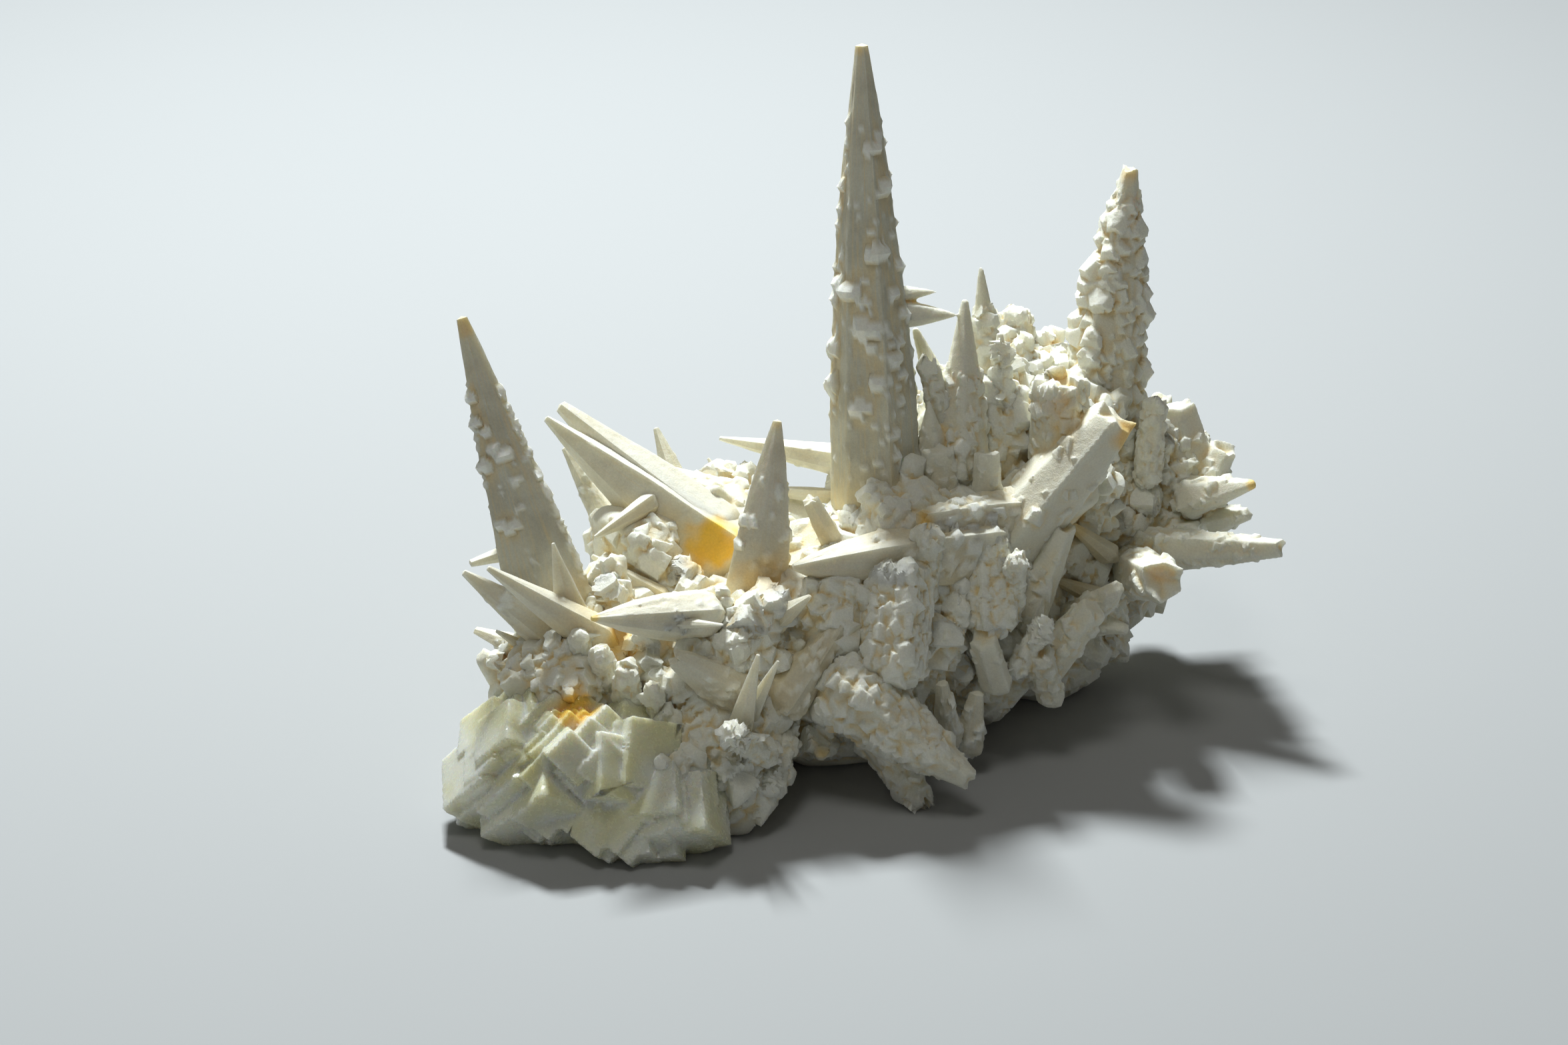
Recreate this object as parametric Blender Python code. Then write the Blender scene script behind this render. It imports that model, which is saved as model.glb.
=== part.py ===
"""A calcite specimen: tapered dogtooth crystals on a broken matrix, coated with small crystals.

The whole specimen grew as one, so it is one closed solid. It is measured as a person reads it from the
front, looking down a little: RIGHT and UP in millimetres on an upright plane through its middle, and TOWARD,
how far a point stands out from that plane to the eye. place() turns such a reading into a point in space.
"""

import math
import random
from collections import namedtuple

import bmesh
import bpy
from mathutils import Matrix, Vector
from mathutils.bvhtree import BVHTree

NAME = "calcite_cluster"
MM = 0.001

# The reading plane: how far the eye looks down on it, from how far off, and how high its middle is.
LOOK_DOWN = math.radians(25)
EYE_DISTANCE = 1045.0
PLANE_HEIGHT = 54.7
# The middle of the finished specimen's outline on its resting surface, in the plane's own millimetres.
MIDDLE = Vector((21.96, 6.09, 0.0))

# How the three-sided symmetry of dogtooth calcite shows in a cross-section: every other edge is drawn in.
DRAWN_IN = 0.84
# Each crystal's edges wander by this share of its width.
EDGE_WANDER = 0.05
# How many lengths a crystal's bowed sides are made of.
MAIN_RINGS = 5
SPIRE_RINGS = 3
BLADE_RINGS = 2

# The broken faces that cut a lump, by their distance from its middle as a share of its half-size.
BREAKS = 16
NEAREST_BREAK = 0.78
FARTHEST_BREAK = 0.96

# How deep a small crystal sits in its parent, as a share of its height.
BUMP_SINK = 0.35
# Its half-widths at the foot and at the top, as shares of its height.
BUMP_FOOT = 0.52
BUMP_TOP = 0.26

# The block that cuts the underside level.
GROUND_WIDTH = 400.0
GROUND_DEPTH = 40.0

RANDOM_SEED = 11

Lump = namedtuple("Lump", "middle size")
Crystal = namedtuple("Crystal", "tip foot width blunt belly sides")
Bump = namedtuple("Bump", "height across size")
Coat = namedtuple("Coat", "count small large start end")

# The matrix and the crystal mass on it, as overlapping lumps: middle (right, up, toward), then half-sizes
# across, in depth and in height. The first ones are the broken matrix, which shows bare at the lower left.
LUMPS = [
    Lump((-49, -61, 20), (26, 24, 20)),
    Lump((-36, -68, 26), (24, 17, 14)),
    Lump((-22, -58, 16), (24, 21, 17)),
    Lump((-47, -37, 10), (19, 23, 24)),
    Lump((-19, -38, 8), (28, 24, 26)),
    Lump((4, -31, 0), (27, 24, 31)),
    Lump((25, -23, -8), (25, 25, 35)),
    Lump((44, -16, -20), (24, 25, 36)),
    Lump((61, -8, -33), (21, 24, 36)),
    Lump((47, 15, -22), (16, 17, 24)),
    Lump((66, 12, -34), (18, 18, 24)),
    Lump((80, 1, -40), (18, 19, 22)),
    Lump((91, 12, -42), (13, 14, 15)),
    Lump((57, 31, -36), (12, 12, 14)),
    Lump((-14, 0, -12), (18, 16, 11)),
    Lump((-33, -8, 0), (15, 14, 14)),
    Lump((-30, -31, -14), (25, 21, 22)),
    Lump((4, -22, -28), (27, 22, 26)),
    Lump((35, -10, -45), (23, 20, 28)),
]

# The named crystals: tip and foot (right, up, toward), half-width at the foot, half-width of the blunt tip,
# how far the sides bow out (1 is straight), and the number of sides.
MAIN_SPIRE = Crystal((18.7, 114.4, 22), (23.5, -14, -4), 12.6, 1.6, 2.0, 9)
LEFT_SPIRE = Crystal((-77.3, 49, 22), (-53, -30, 16), 12.0, 1.4, 1.25, 8)
RIGHT_SPIRE = Crystal((83, 85, -22), (73, 12, -36), 13.6, 2.2, 1.4, 8)

BLADES = [
    Crystal((-57, 25, 2), (-12, -12, 4), 10.5, 0.9, 1.1, 6),
    Crystal((-53.5, 28, -1), (-14, -6, 2), 8.5, 1.6, 1.1, 6),
    Crystal((-52.5, 17.9, -12), (-32, -18, -6), 6.5, 1.0, 1.2, 6),
    Crystal((-45.4, -3.5, 18), (-30, 6, 6), 3.6, 0.5, 1.2, 5),
    Crystal((-46, -8, 16), (-27, -20, 14), 4.0, 0.6, 1.2, 5),
    Crystal((-30.7, 22.6, -22), (-24, 5, -20), 4.4, 0.8, 1.2, 6),
    Crystal((-18.2, 15.4, -26), (-12, 6, -24), 2.2, 0.4, 1.0, 5),
    Crystal((-15.4, 20.2, -14), (20, 14, -6), 5.0, 0.6, 1.3, 6),
    Crystal((-15.4, 8.6, -10), (18, 6, -6), 2.4, 0.6, 1.3, 5),
    Crystal((-1.6, 24.3, 22), (-8, -26, 17), 8.4, 1.2, 1.5, 7),
    Crystal((6.5, 5.4, 18), (14, -9, 12), 4.0, 2.2, 1.3, 6),
    Crystal((2.2, -10.6, 28), (38, -6, 18), 8.6, 0.8, 1.3, 7),
    Crystal((33.4, 0.8, 20), (60, 0, 2), 4.8, 2.2, 1.6, 6),
    Crystal((43.4, 53.4, 6), (42, 8, 0), 8.4, 1.0, 1.3, 6),
    Crystal((47.2, 61.1, -6), (50, 14, -10), 8.0, 0.8, 1.3, 6),
    Crystal((31.4, 46.6, 2), (40, 26, -4), 4.0, 1.0, 1.2, 5),
    Crystal((36.6, 55.4, 6), (24, 54.6, 9), 1.6, 0.3, 1.2, 5),
    Crystal((41.6, 49.8, 6), (24, 50, 8), 2.6, 0.3, 1.4, 5),
    Crystal((25.8, 4.3, 16), (38, 3, 6), 2.6, 0.3, 1.2, 5),
    Crystal((29.4, 21.6, 8), (38, 27, 2), 4.0, 0.6, 1.2, 5),
    Crystal((66.2, 33.4, 2), (68, 0, -6), 9.6, 7.0, 1.2, 7),
    Crystal((79, 26.4, 4), (70, -4, -8), 9.4, 7.4, 1.2, 7),
    Crystal((94.5, 28.5, -33), (98, 2, -36), 9.6, 3.4, 1.4, 6),
    Crystal((106, 17, -32), (94, 0, -36), 8.4, 3.4, 1.3, 6),
    Crystal((112.8, 9.2, -18), (94, 5, -30), 7.0, 1.4, 1.3, 6),
    Crystal((119.5, -6, -8), (82, -6, -26), 6.6, 2.4, 1.3, 6),
    Crystal((111.4, 1.9, -24), (101, 0, -32), 4.4, 2.0, 1.3, 5),
    Crystal((91, -14, 4), (82, -10, -26), 7.2, 5.6, 1.2, 7),
    Crystal((44.6, -62, 24), (8, -36, 22), 11.6, 3.0, 1.6, 8),
    Crystal((33, -67, 16), (20, -48, 12), 6.5, 3.0, 1.3, 6),
    Crystal((-76.8, -11.9, 26), (-50, -30, 20), 6.4, 0.8, 1.3, 6),
    Crystal((-71, -10.9, 36), (-40, -30, 24), 6.2, 0.7, 1.3, 6),
    Crystal((-75.2, -9.8, 20), (-66, -7, 17), 2.2, 0.9, 1.1, 5),
    Crystal((-46.2, -23, 46), (-14, -22, 28), 6.6, 0.6, 1.5, 6),
    Crystal((-14.6, -24.6, 42), (-30, -24, 36), 2.0, 0.3, 1.2, 5),
    Crystal((6.2, -17.8, 34), (-6, -27, 20), 4.6, 0.6, 1.2, 5),
    Crystal((-6.2, -31.8, 48), (-11, -52, 32), 4.0, 0.5, 1.2, 5),
    Crystal((-1.4, -33.3, 44), (-9, -48, 32), 2.8, 0.4, 1.2, 5),
    Crystal((14, -24, 24), (0, -44, 26), 5.4, 1.8, 1.2, 6),
    Crystal((-26, -32.5, 36), (-10, -50, 30), 7.0, 3.0, 1.3, 6),
    Crystal((67, 1, -6), (80, -9, -14), 3.6, 0.4, 1.2, 5),
    Crystal((62.5, -12.5, -8), (80, -20, -16), 3.6, 0.5, 1.2, 5),
    Crystal((38, -38.6, 16), (40, -54, 4), 4.4, 1.0, 1.2, 5),
    Crystal((46.5, -41, 8), (44, -56, 0), 4.6, 1.8, 1.2, 5),
    Crystal((-69, -26, 22), (-58, -32, 16), 2.4, 0.4, 1.1, 5),
    Crystal((100, 22, -60), (78, 6, -50), 6.0, 1.6, 1.3, 6),
    Crystal((-4, 8, -58), (16, -14, -36), 6.4, 1.2, 1.3, 6),
    Crystal((60, 44, -66), (58, 10, -48), 7.4, 1.4, 1.3, 6),
    Crystal((-42, 8, -34), (-20, -20, -12), 6.8, 1.0, 1.3, 6),
    Crystal((-74, -26, -14), (-44, -38, 0), 6.2, 1.0, 1.3, 6),
    Crystal((30, 18, -62), (30, -16, -36), 7.0, 1.6, 1.3, 6),
]

# Small crystals whose places show, by height on the plane, place across the parent from its left edge (-1)
# to its right edge (1), and size.
MAIN_BUMPS = [
    Bump(94, 0.65, 1.8),
    Bump(89, 0.45, 2.6),
    Bump(84, 0.95, 1.8),
    Bump(80.5, 0.72, 4.0),
    Bump(80, -1, 2.2),
    Bump(73, -1, 2.2),
    Bump(72, 1, 1.8),
    Bump(64, 0.3, 3.0),
    Bump(61.5, 1, 2.2),
    Bump(56, -0.85, 4.2),
    Bump(54, 0.65, 3.0),
    Bump(50, 0.9, 3.0),
    Bump(46, -0.1, 4.6),
    Bump(41.5, -1, 4.0),
    Bump(39, 0.5, 3.0),
    Bump(33.5, -1, 4.2),
    Bump(33, 0.2, 2.8),
    Bump(27, -0.3, 3.6),
    Bump(20.5, 0.4, 2.2),
]
LEFT_BUMPS = [
    Bump(29.5, -1, 3.0),
    Bump(23, -1, 3.0),
    Bump(17.5, -0.4, 3.6),
    Bump(13.5, -1, 3.4),
    Bump(-2, -0.5, 4.0),
    Bump(28.5, 1, 1.6),
    Bump(22, 1, 1.6),
    Bump(15, 1, 1.8),
    Bump(8, 1, 1.8),
    Bump(1, 1, 2.0),
    Bump(-6, 1, 2.2),
    Bump(-12, 1, 2.2),
]
RIGHT_BUMPS = [
    Bump(76, -0.9, 3.0),
    Bump(68, -1, 4.0),
    Bump(59, -0.95, 7.0),
    Bump(53, -1, 4.5),
    Bump(48, -1, 6.0),
    Bump(55, 1, 4.5),
    Bump(50, 1, 5.0),
    Bump(36, 1, 4.2),
    Bump(60, 0.1, 4.0),
    Bump(50, -0.2, 5.0),
    Bump(43, 0.35, 5.0),
    Bump(40, -0.5, 5.0),
]

# Small crystals scattered round a parent: how many, their sizes, and the stretch from tip (0) to foot (1).
MAIN_COAT = Coat(6, 2.2, 4.0, 0.25, 0.85)
LEFT_COAT = Coat(5, 2.4, 4.0, 0.3, 0.8)
RIGHT_COAT = Coat(10, 3.6, 5.6, 0.2, 0.75)
BLADE_COATS = {
    9: Coat(4, 2.6, 4.0, 0.3, 0.8),
    11: Coat(7, 3.0, 4.8, 0.35, 0.9),
    13: Coat(4, 2.8, 4.4, 0.3, 0.85),
    14: Coat(4, 2.8, 4.4, 0.3, 0.85),
    20: Coat(4, 3.0, 5.0, 0.1, 0.8),
    21: Coat(4, 3.0, 5.0, 0.1, 0.8),
    28: Coat(12, 4.0, 6.0, 0.15, 0.8),
}
MASS_COAT = Coat(45, 7.5, 12.0, 0.0, 1.0)
LOWEST_BUMP = 14.0
# How much of the mass's coat is on the side that faces the eye, and the part of the plane that it covers.
FACING_SHARE = 0.55
MASS_RIGHT = (-66, 100)
MASS_UP = (-60, 30)
# How near to a lump's rounded form a small crystal of the mass grows.
NEAR_LUMP = 1.15
# The broken matrix shows bare at the lower left, in the first lumps of the list.
BARE_LUMPS = 2
COATED_LUMPS = LUMPS[BARE_LUMPS:]


def place(right, up, toward):
    """The point in space of a reading on the plane, in metres."""
    closer = 1 - toward / EYE_DISTANCE
    x = right * closer
    y = up * closer * math.sin(LOOK_DOWN) - toward * math.cos(LOOK_DOWN)
    z = up * closer * math.cos(LOOK_DOWN) + toward * math.sin(LOOK_DOWN) + PLANE_HEIGHT
    return (Vector((x, y, z)) - MIDDLE) * MM


def clear_scene():
    for thing in list(bpy.data.objects):
        bpy.data.objects.remove(thing, do_unlink=True)


def new_collection(name):
    collection = bpy.data.collections.new(name)
    bpy.context.scene.collection.children.link(collection)
    return collection


def calcite_material():
    material = bpy.data.materials.new("cream_calcite")
    material.use_nodes = True
    shader = material.node_tree.nodes["Principled BSDF"]
    shader.inputs["Base Color"].default_value = (0.80, 0.74, 0.60, 1)
    shader.inputs["Roughness"].default_value = 0.6
    shader.inputs["Metallic"].default_value = 0
    return material


def to_object(shape, name, collection):
    """Puts a shape in the scene as its own mesh object."""
    mesh = bpy.data.meshes.new(name)
    shape.to_mesh(mesh)
    shape.free()
    thing = bpy.data.objects.new(name, mesh)
    collection.objects.link(thing)
    return thing


def growth(shape, number, collection):
    """A shape that is joined to the specimen, kept as a guide in the growths' collection."""
    thing = to_object(shape, f"growth_{number:03d}", collection)
    thing.hide_render = True
    thing.display_type = "WIRE"
    return thing


def lump_shape(lump, seed):
    """A rough lump with broken faces."""
    dice = random.Random(seed)
    shape = bmesh.new()
    bmesh.ops.create_icosphere(shape, subdivisions=1, radius=1.15)
    for _ in range(BREAKS):
        across = Vector((dice.gauss(0, 1), dice.gauss(0, 1), dice.gauss(0, 1))).normalized()
        cut = bmesh.ops.bisect_plane(
            shape,
            geom=shape.verts[:] + shape.edges[:] + shape.faces[:],
            plane_co=across * dice.uniform(NEAREST_BREAK, FARTHEST_BREAK),
            plane_no=across,
            clear_outer=True,
        )
        rim = [part for part in cut["geom_cut"] if isinstance(part, bmesh.types.BMEdge)]
        if rim:
            bmesh.ops.edgeloop_fill(shape, edges=rim)
    bmesh.ops.recalc_face_normals(shape, faces=shape.faces)
    bmesh.ops.triangulate(shape, faces=shape.faces)
    bmesh.ops.scale(shape, verts=shape.verts, vec=Vector(lump.size) * MM)
    bmesh.ops.translate(shape, verts=shape.verts, vec=place(*lump.middle))
    return shape


def profile(along, crystal):
    """The half-width at a share of the way from tip (0) to foot (1), in millimetres."""
    full = 1 - (1 - along) ** crystal.belly
    return crystal.blunt + (crystal.width - crystal.blunt) * full


def crystal_frame(crystal):
    """Tip, foot, and the crystal's own upright frame turned to run from foot to tip."""
    tip = place(*crystal.tip)
    foot = place(*crystal.foot)
    turn = (tip - foot).to_track_quat("Z", "Y").to_matrix().to_4x4()
    return tip, foot, turn


def crystal_shape(crystal, rings, dice):
    """A steep, many-sided crystal whose alternate edges are drawn in, cut across into rings."""
    shape = bmesh.new()
    tip, foot, turn = crystal_frame(crystal)
    length = (tip - foot).length
    bmesh.ops.create_cone(
        shape, cap_ends=True, segments=crystal.sides, radius1=1, radius2=1, depth=length
    )
    bmesh.ops.translate(shape, verts=shape.verts, vec=(0, 0, length / 2))
    for ring in range(1, rings):
        level = length * (1 - (ring / rings) ** 1.35)
        bmesh.ops.bisect_plane(
            shape,
            geom=shape.verts[:] + shape.edges[:] + shape.faces[:],
            plane_co=(0, 0, level),
            plane_no=(0, 0, 1),
        )
    spin = dice.uniform(0, math.tau)
    for vertex in shape.verts:
        along = 1 - vertex.co.z / length
        side = round(math.atan2(vertex.co.y, vertex.co.x) / math.tau * crystal.sides)
        share = DRAWN_IN if side % 2 else 1.0
        share *= 1 + dice.uniform(-EDGE_WANDER, EDGE_WANDER)
        reach = profile(along, crystal) * MM * share
        vertex.co.x *= reach
        vertex.co.y *= reach
    top = [v for v in shape.verts if v.co.z > length * 0.999]
    chip = dice.uniform(-0.5, 0.5)
    for vertex in top:
        vertex.co.z += vertex.co.x * chip
    bmesh.ops.transform(
        shape, verts=shape.verts, matrix=Matrix.Translation(foot) @ turn @ Matrix.Rotation(spin, 4, "Z")
    )
    return shape


def bump_shape(spot, outward, size, dice):
    """A small blocky crystal standing on a spot."""
    shape = bmesh.new()
    tall = size * MM * dice.uniform(0.85, 1.15)
    bmesh.ops.create_cone(
        shape,
        cap_ends=True,
        segments=4,
        radius1=BUMP_FOOT * size * MM,
        radius2=BUMP_TOP * size * MM,
        depth=tall,
    )
    bmesh.ops.scale(shape, verts=shape.verts, vec=(1.0, dice.uniform(0.65, 0.95), 1.0))
    bmesh.ops.translate(shape, verts=shape.verts, vec=(0, 0, tall * (0.5 - BUMP_SINK)))
    turn = outward.to_track_quat("Z", "Y").to_matrix().to_4x4()
    spin = Matrix.Rotation(dice.uniform(0, math.tau), 4, "Z")
    bmesh.ops.transform(shape, verts=shape.verts, matrix=Matrix.Translation(spot) @ turn @ spin)
    return shape


def surface_of(shape):
    """A shape as a surface that rays can meet."""
    return BVHTree.FromBMesh(shape)


def spot_on(crystal, surface, along, sideways, forward):
    """A spot on a crystal's side, and the way a small crystal on it grows: outward and to the tip."""
    tip, foot, _ = crystal_frame(crystal)
    axis = (tip - foot).normalized()
    eye = Vector((0, -math.cos(LOOK_DOWN), math.sin(LOOK_DOWN)))
    side = axis.cross(eye).normalized()
    if side.x < 0:
        side = -side
    front = side.cross(axis).normalized()
    if front.dot(eye) < 0:
        front = -front
    outward = (side * sideways + front * forward).normalized()
    spot, _, _, _ = surface.ray_cast(tip.lerp(foot, along), outward)
    return spot, (outward * 0.8 + axis * 0.6).normalized()


def seen_bumps(crystal, surface, bumps, dice):
    """The small crystals whose places are listed."""
    for bump in bumps:
        along = (crystal.tip[1] - bump.height) / (crystal.tip[1] - crystal.foot[1])
        forward = math.sqrt(max(0.0, 1 - bump.across**2))
        spot, way = spot_on(crystal, surface, along, bump.across, forward)
        yield bump_shape(spot, way, bump.size, dice)


def coat_bumps(crystal, surface, coat, dice):
    """Small crystals scattered all round a parent."""
    for _ in range(coat.count):
        along = dice.uniform(coat.start, coat.end)
        angle = dice.uniform(0, math.tau)
        spot, way = spot_on(crystal, surface, along, math.cos(angle), math.sin(angle))
        yield bump_shape(spot, way, dice.uniform(coat.small, coat.large), dice)


def on_a_lump(point):
    """Whether a point is on or near a lump that has a coat."""
    for lump in COATED_LUMPS:
        off = point - place(*lump.middle)
        if sum((off[i] / (lump.size[i] * MM)) ** 2 for i in range(3)) < NEAR_LUMP**2:
            return True
    return False


def mass_bumps(surface, coat, dice):
    """Blocky crystals over the mass between the large ones, found by looking at it from many sides."""
    made = 0
    while made < coat.count:
        aim = place(dice.uniform(*MASS_RIGHT), dice.uniform(*MASS_UP), dice.uniform(-60, 30))
        turn = dice.uniform(0, math.tau)
        back = Vector((math.cos(turn), math.sin(turn), dice.uniform(0, 0.8))).normalized()
        if dice.random() < FACING_SHARE:
            back = Vector((0, -math.cos(LOOK_DOWN), math.sin(LOOK_DOWN)))
        spot, way, _, _ = surface.ray_cast(aim + back, -back)
        if spot is None or spot.z < LOWEST_BUMP * MM or not on_a_lump(spot):
            continue
        lean = Vector((dice.uniform(-0.4, 0.4), dice.uniform(-0.4, 0.4), dice.uniform(0, 0.5)))
        size = dice.uniform(coat.small, coat.large)
        yield bump_shape(spot, (way + lean).normalized(), size, dice)
        made += 1


def large_growths(dice):
    """The lumps and the large crystals that are joined to the first lump, with coats for the crystals."""
    for number, lump in enumerate(LUMPS[1:], start=2):
        yield lump_shape(lump, number), None
    yield crystal_shape(MAIN_SPIRE, MAIN_RINGS, dice), (MAIN_SPIRE, MAIN_BUMPS, MAIN_COAT)
    yield crystal_shape(LEFT_SPIRE, SPIRE_RINGS, dice), (LEFT_SPIRE, LEFT_BUMPS, LEFT_COAT)
    yield crystal_shape(RIGHT_SPIRE, SPIRE_RINGS, dice), (RIGHT_SPIRE, RIGHT_BUMPS, RIGHT_COAT)
    for number, crystal in enumerate(BLADES):
        coat = BLADE_COATS.get(number)
        yield crystal_shape(crystal, BLADE_RINGS, dice), coat and (crystal, [], coat)


def add_growths(collection, dice):
    """Puts every large growth in the collection, and returns the small crystals on them."""
    small = []
    for shape, coated in large_growths(dice):
        if coated:
            crystal, bumps, coat = coated
            surface = surface_of(shape)
            small.extend(seen_bumps(crystal, surface, bumps, dice))
            small.extend(coat_bumps(crystal, surface, coat, dice))
        growth(shape, len(collection.objects), collection)
    return small


def ground_cutter(collection):
    """A block under the resting plane, which leaves the flat spots that the specimen rests on."""
    shape = bmesh.new()
    bmesh.ops.create_cube(shape, size=1)
    bmesh.ops.scale(shape, verts=shape.verts, vec=Vector((GROUND_WIDTH, GROUND_WIDTH, GROUND_DEPTH)) * MM)
    bmesh.ops.translate(shape, verts=shape.verts, vec=(0, 0, -GROUND_DEPTH * MM / 2))
    cutter = to_object(shape, "ground", collection)
    cutter.hide_render = True
    cutter.display_type = "WIRE"
    return cutter


def evaluated_mesh(thing):
    bpy.context.view_layer.update()
    graph = bpy.context.evaluated_depsgraph_get()
    return bpy.data.meshes.new_from_object(thing.evaluated_get(graph))


def join(first, growths):
    """Adds a modifier that makes one solid of the first shape and the growths."""
    union = first.modifiers.new("join", "BOOLEAN")
    union.operation = "UNION"
    union.operand_type = "COLLECTION"
    union.collection = growths
    union.solver = "EXACT"


def cut_level(first, cutter):
    """Adds a modifier that cuts the solid level underneath."""
    level = first.modifiers.new("level", "BOOLEAN")
    level.operation = "DIFFERENCE"
    level.object = cutter
    level.solver = "EXACT"


def surface_of_mesh(mesh):
    shape = bmesh.new()
    shape.from_mesh(mesh)
    surface = surface_of(shape)
    shape.free()
    return surface


def outer_body(mesh):
    """Keeps the outer skin alone: hollows shut in between growths are filled."""
    shape = bmesh.new()
    shape.from_mesh(mesh)
    bmesh.ops.triangulate(shape, faces=shape.faces)
    groups = []
    left = set(shape.faces)
    while left:
        group = set()
        queue = [next(iter(left))]
        while queue:
            face = queue.pop()
            if face in group:
                continue
            group.add(face)
            for edge in face.edges:
                queue.extend(f for f in edge.link_faces if f not in group)
        left -= group
        groups.append(group)
    groups.sort(key=len, reverse=True)
    spare = [face for group in groups[1:] for face in group]
    bmesh.ops.delete(shape, geom=spare, context="FACES")
    shape.to_mesh(mesh)
    shape.free()
    return mesh


def main():
    clear_scene()
    specimen = new_collection("calcite_specimen")
    growths = new_collection("growths")
    cutters = new_collection("cutters")
    dice = random.Random(RANDOM_SEED)
    first = to_object(lump_shape(LUMPS[0], 1), "first_lump", cutters)
    first.hide_render = True
    first.display_type = "WIRE"
    small = add_growths(growths, dice)
    join(first, growths)
    bare = surface_of_mesh(evaluated_mesh(first))
    small.extend(mass_bumps(bare, MASS_COAT, dice))
    for shape in small:
        growth(shape, len(growths.objects), growths)
    cut_level(first, ground_cutter(cutters))
    mesh = outer_body(evaluated_mesh(first))
    mesh.name = NAME
    cluster = bpy.data.objects.new(NAME, mesh)
    mesh.materials.clear()
    mesh.materials.append(calcite_material())
    specimen.objects.link(cluster)


main()
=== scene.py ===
"""A calcite specimen: frosted dogtooth crystals coated with small crystals, on a broken yellow matrix.

The lumps are those of the solid that the pieces stand for. The large crystals follow the solid's, some of
them longer, wider or a little shifted here, and 31 are added, most of them columns of the mass. All are read
from the front: RIGHT and UP in millimetres on an upright plane through the specimen's middle, and TOWARD, how
far a point stands out from that plane to the eye. place() turns such a reading into a point in space.
"""

import math
import random
from collections import namedtuple

import bpy
import numpy as np
from mathutils import Matrix, Vector
from mathutils.bvhtree import BVHTree


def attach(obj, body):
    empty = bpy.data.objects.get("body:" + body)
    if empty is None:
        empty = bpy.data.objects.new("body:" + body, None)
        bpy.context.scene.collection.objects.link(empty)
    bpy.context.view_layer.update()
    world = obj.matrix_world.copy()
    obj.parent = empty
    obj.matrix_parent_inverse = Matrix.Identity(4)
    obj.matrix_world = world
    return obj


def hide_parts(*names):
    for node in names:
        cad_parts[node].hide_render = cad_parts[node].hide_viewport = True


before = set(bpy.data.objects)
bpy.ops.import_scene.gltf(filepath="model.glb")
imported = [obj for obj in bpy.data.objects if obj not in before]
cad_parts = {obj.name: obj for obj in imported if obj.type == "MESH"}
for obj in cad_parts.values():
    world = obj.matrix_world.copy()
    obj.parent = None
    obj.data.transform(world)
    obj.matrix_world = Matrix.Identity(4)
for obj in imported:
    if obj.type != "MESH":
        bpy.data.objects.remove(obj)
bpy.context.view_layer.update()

CAD_NODE = "calcite_cluster"
MM = 0.001
SEED = 5

# The reading plane: how far the eye looks down on it, from how far off, and how high its middle is.
LOOK_DOWN = math.radians(25)
EYE_DISTANCE = 1045.0
PLANE_HEIGHT = 54.7
# The middle of the specimen's outline on its resting surface, in the plane's own millimetres.
MIDDLE = np.array((21.96, 6.09, 0.0))
EYE_WAY = np.array((0.0, -math.cos(LOOK_DOWN), math.sin(LOOK_DOWN)))

Lump = namedtuple("Lump", "middle size")
# A large crystal: tip and foot (right, up, toward), half-width at the foot, half-width of the blunt tip, how
# far the sides bow out, the piece that it is part of, how stepped its faces are, how far its edges are turned
# about its length in degrees, and how deep it is for its width.
Crystal = namedtuple("Crystal", "tip foot width blunt belly piece steps facing deep")
Bump = namedtuple("Bump", "height across size")
# Small crystals over a large one: how many, smallest and largest size in millimetres, where they start and
# end from tip (0) to foot (1), forms, and how far their tips lift off its face in degrees.
Coat = namedtuple("Coat", "count small large start end forms lift")
# A part of the mass whose crystals point one way: middle, heading, how much it is covered, size and forms.
Zone = namedtuple("Zone", "middle heading cover size forms")
# A serrated row of tiny crystals down an edge of a spire: the heights on the plane that it runs between, its
# place across the spire from -1 to 1, and how many crystals it has.
Fringe = namedtuple("Fringe", "spire top bottom across count")
# Where honey-coloured light comes through: middle (right, up, toward), radius in millimetres, and strength.
Glow = namedtuple("Glow", "middle radius strength")
# Small crystals spread over the mass: how many at most, how far apart, smallest and largest size, how far
# they are sunk in for their size, how far out from a lump's middle they may stand (1 is its surface), and the
# lowest height.
Cover = namedtuple("Cover", "count spacing small large sink near lowest")
# Half-buried dogtooth crystals over the mass: how many at most, how far apart, and their half-widths.
Wedges = namedtuple("Wedges", "count spacing small large")
# A finish: its name, the two colours of its patches, the colour of its streaks and crevices (on the
# crystals a painted warm shade in the crevices), how rough it is, how deep its frost is in metres, how strong
# its streaks are, how clear it is, how much light scatters in it, and how many patches a metre has and how
# ragged they are.
Look = namedtuple(
    "Look",
    "name pale dull deep rough frost streaks clear scatter patches detail",
    defaults=(0.0, 0.0, 0.35, 90, 5),
)
# How piles become one skin: voxel size in millimetres, rounds of evening out, and the share of faces kept.
Skin = namedtuple("Skin", "voxel rounds keep")

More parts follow.
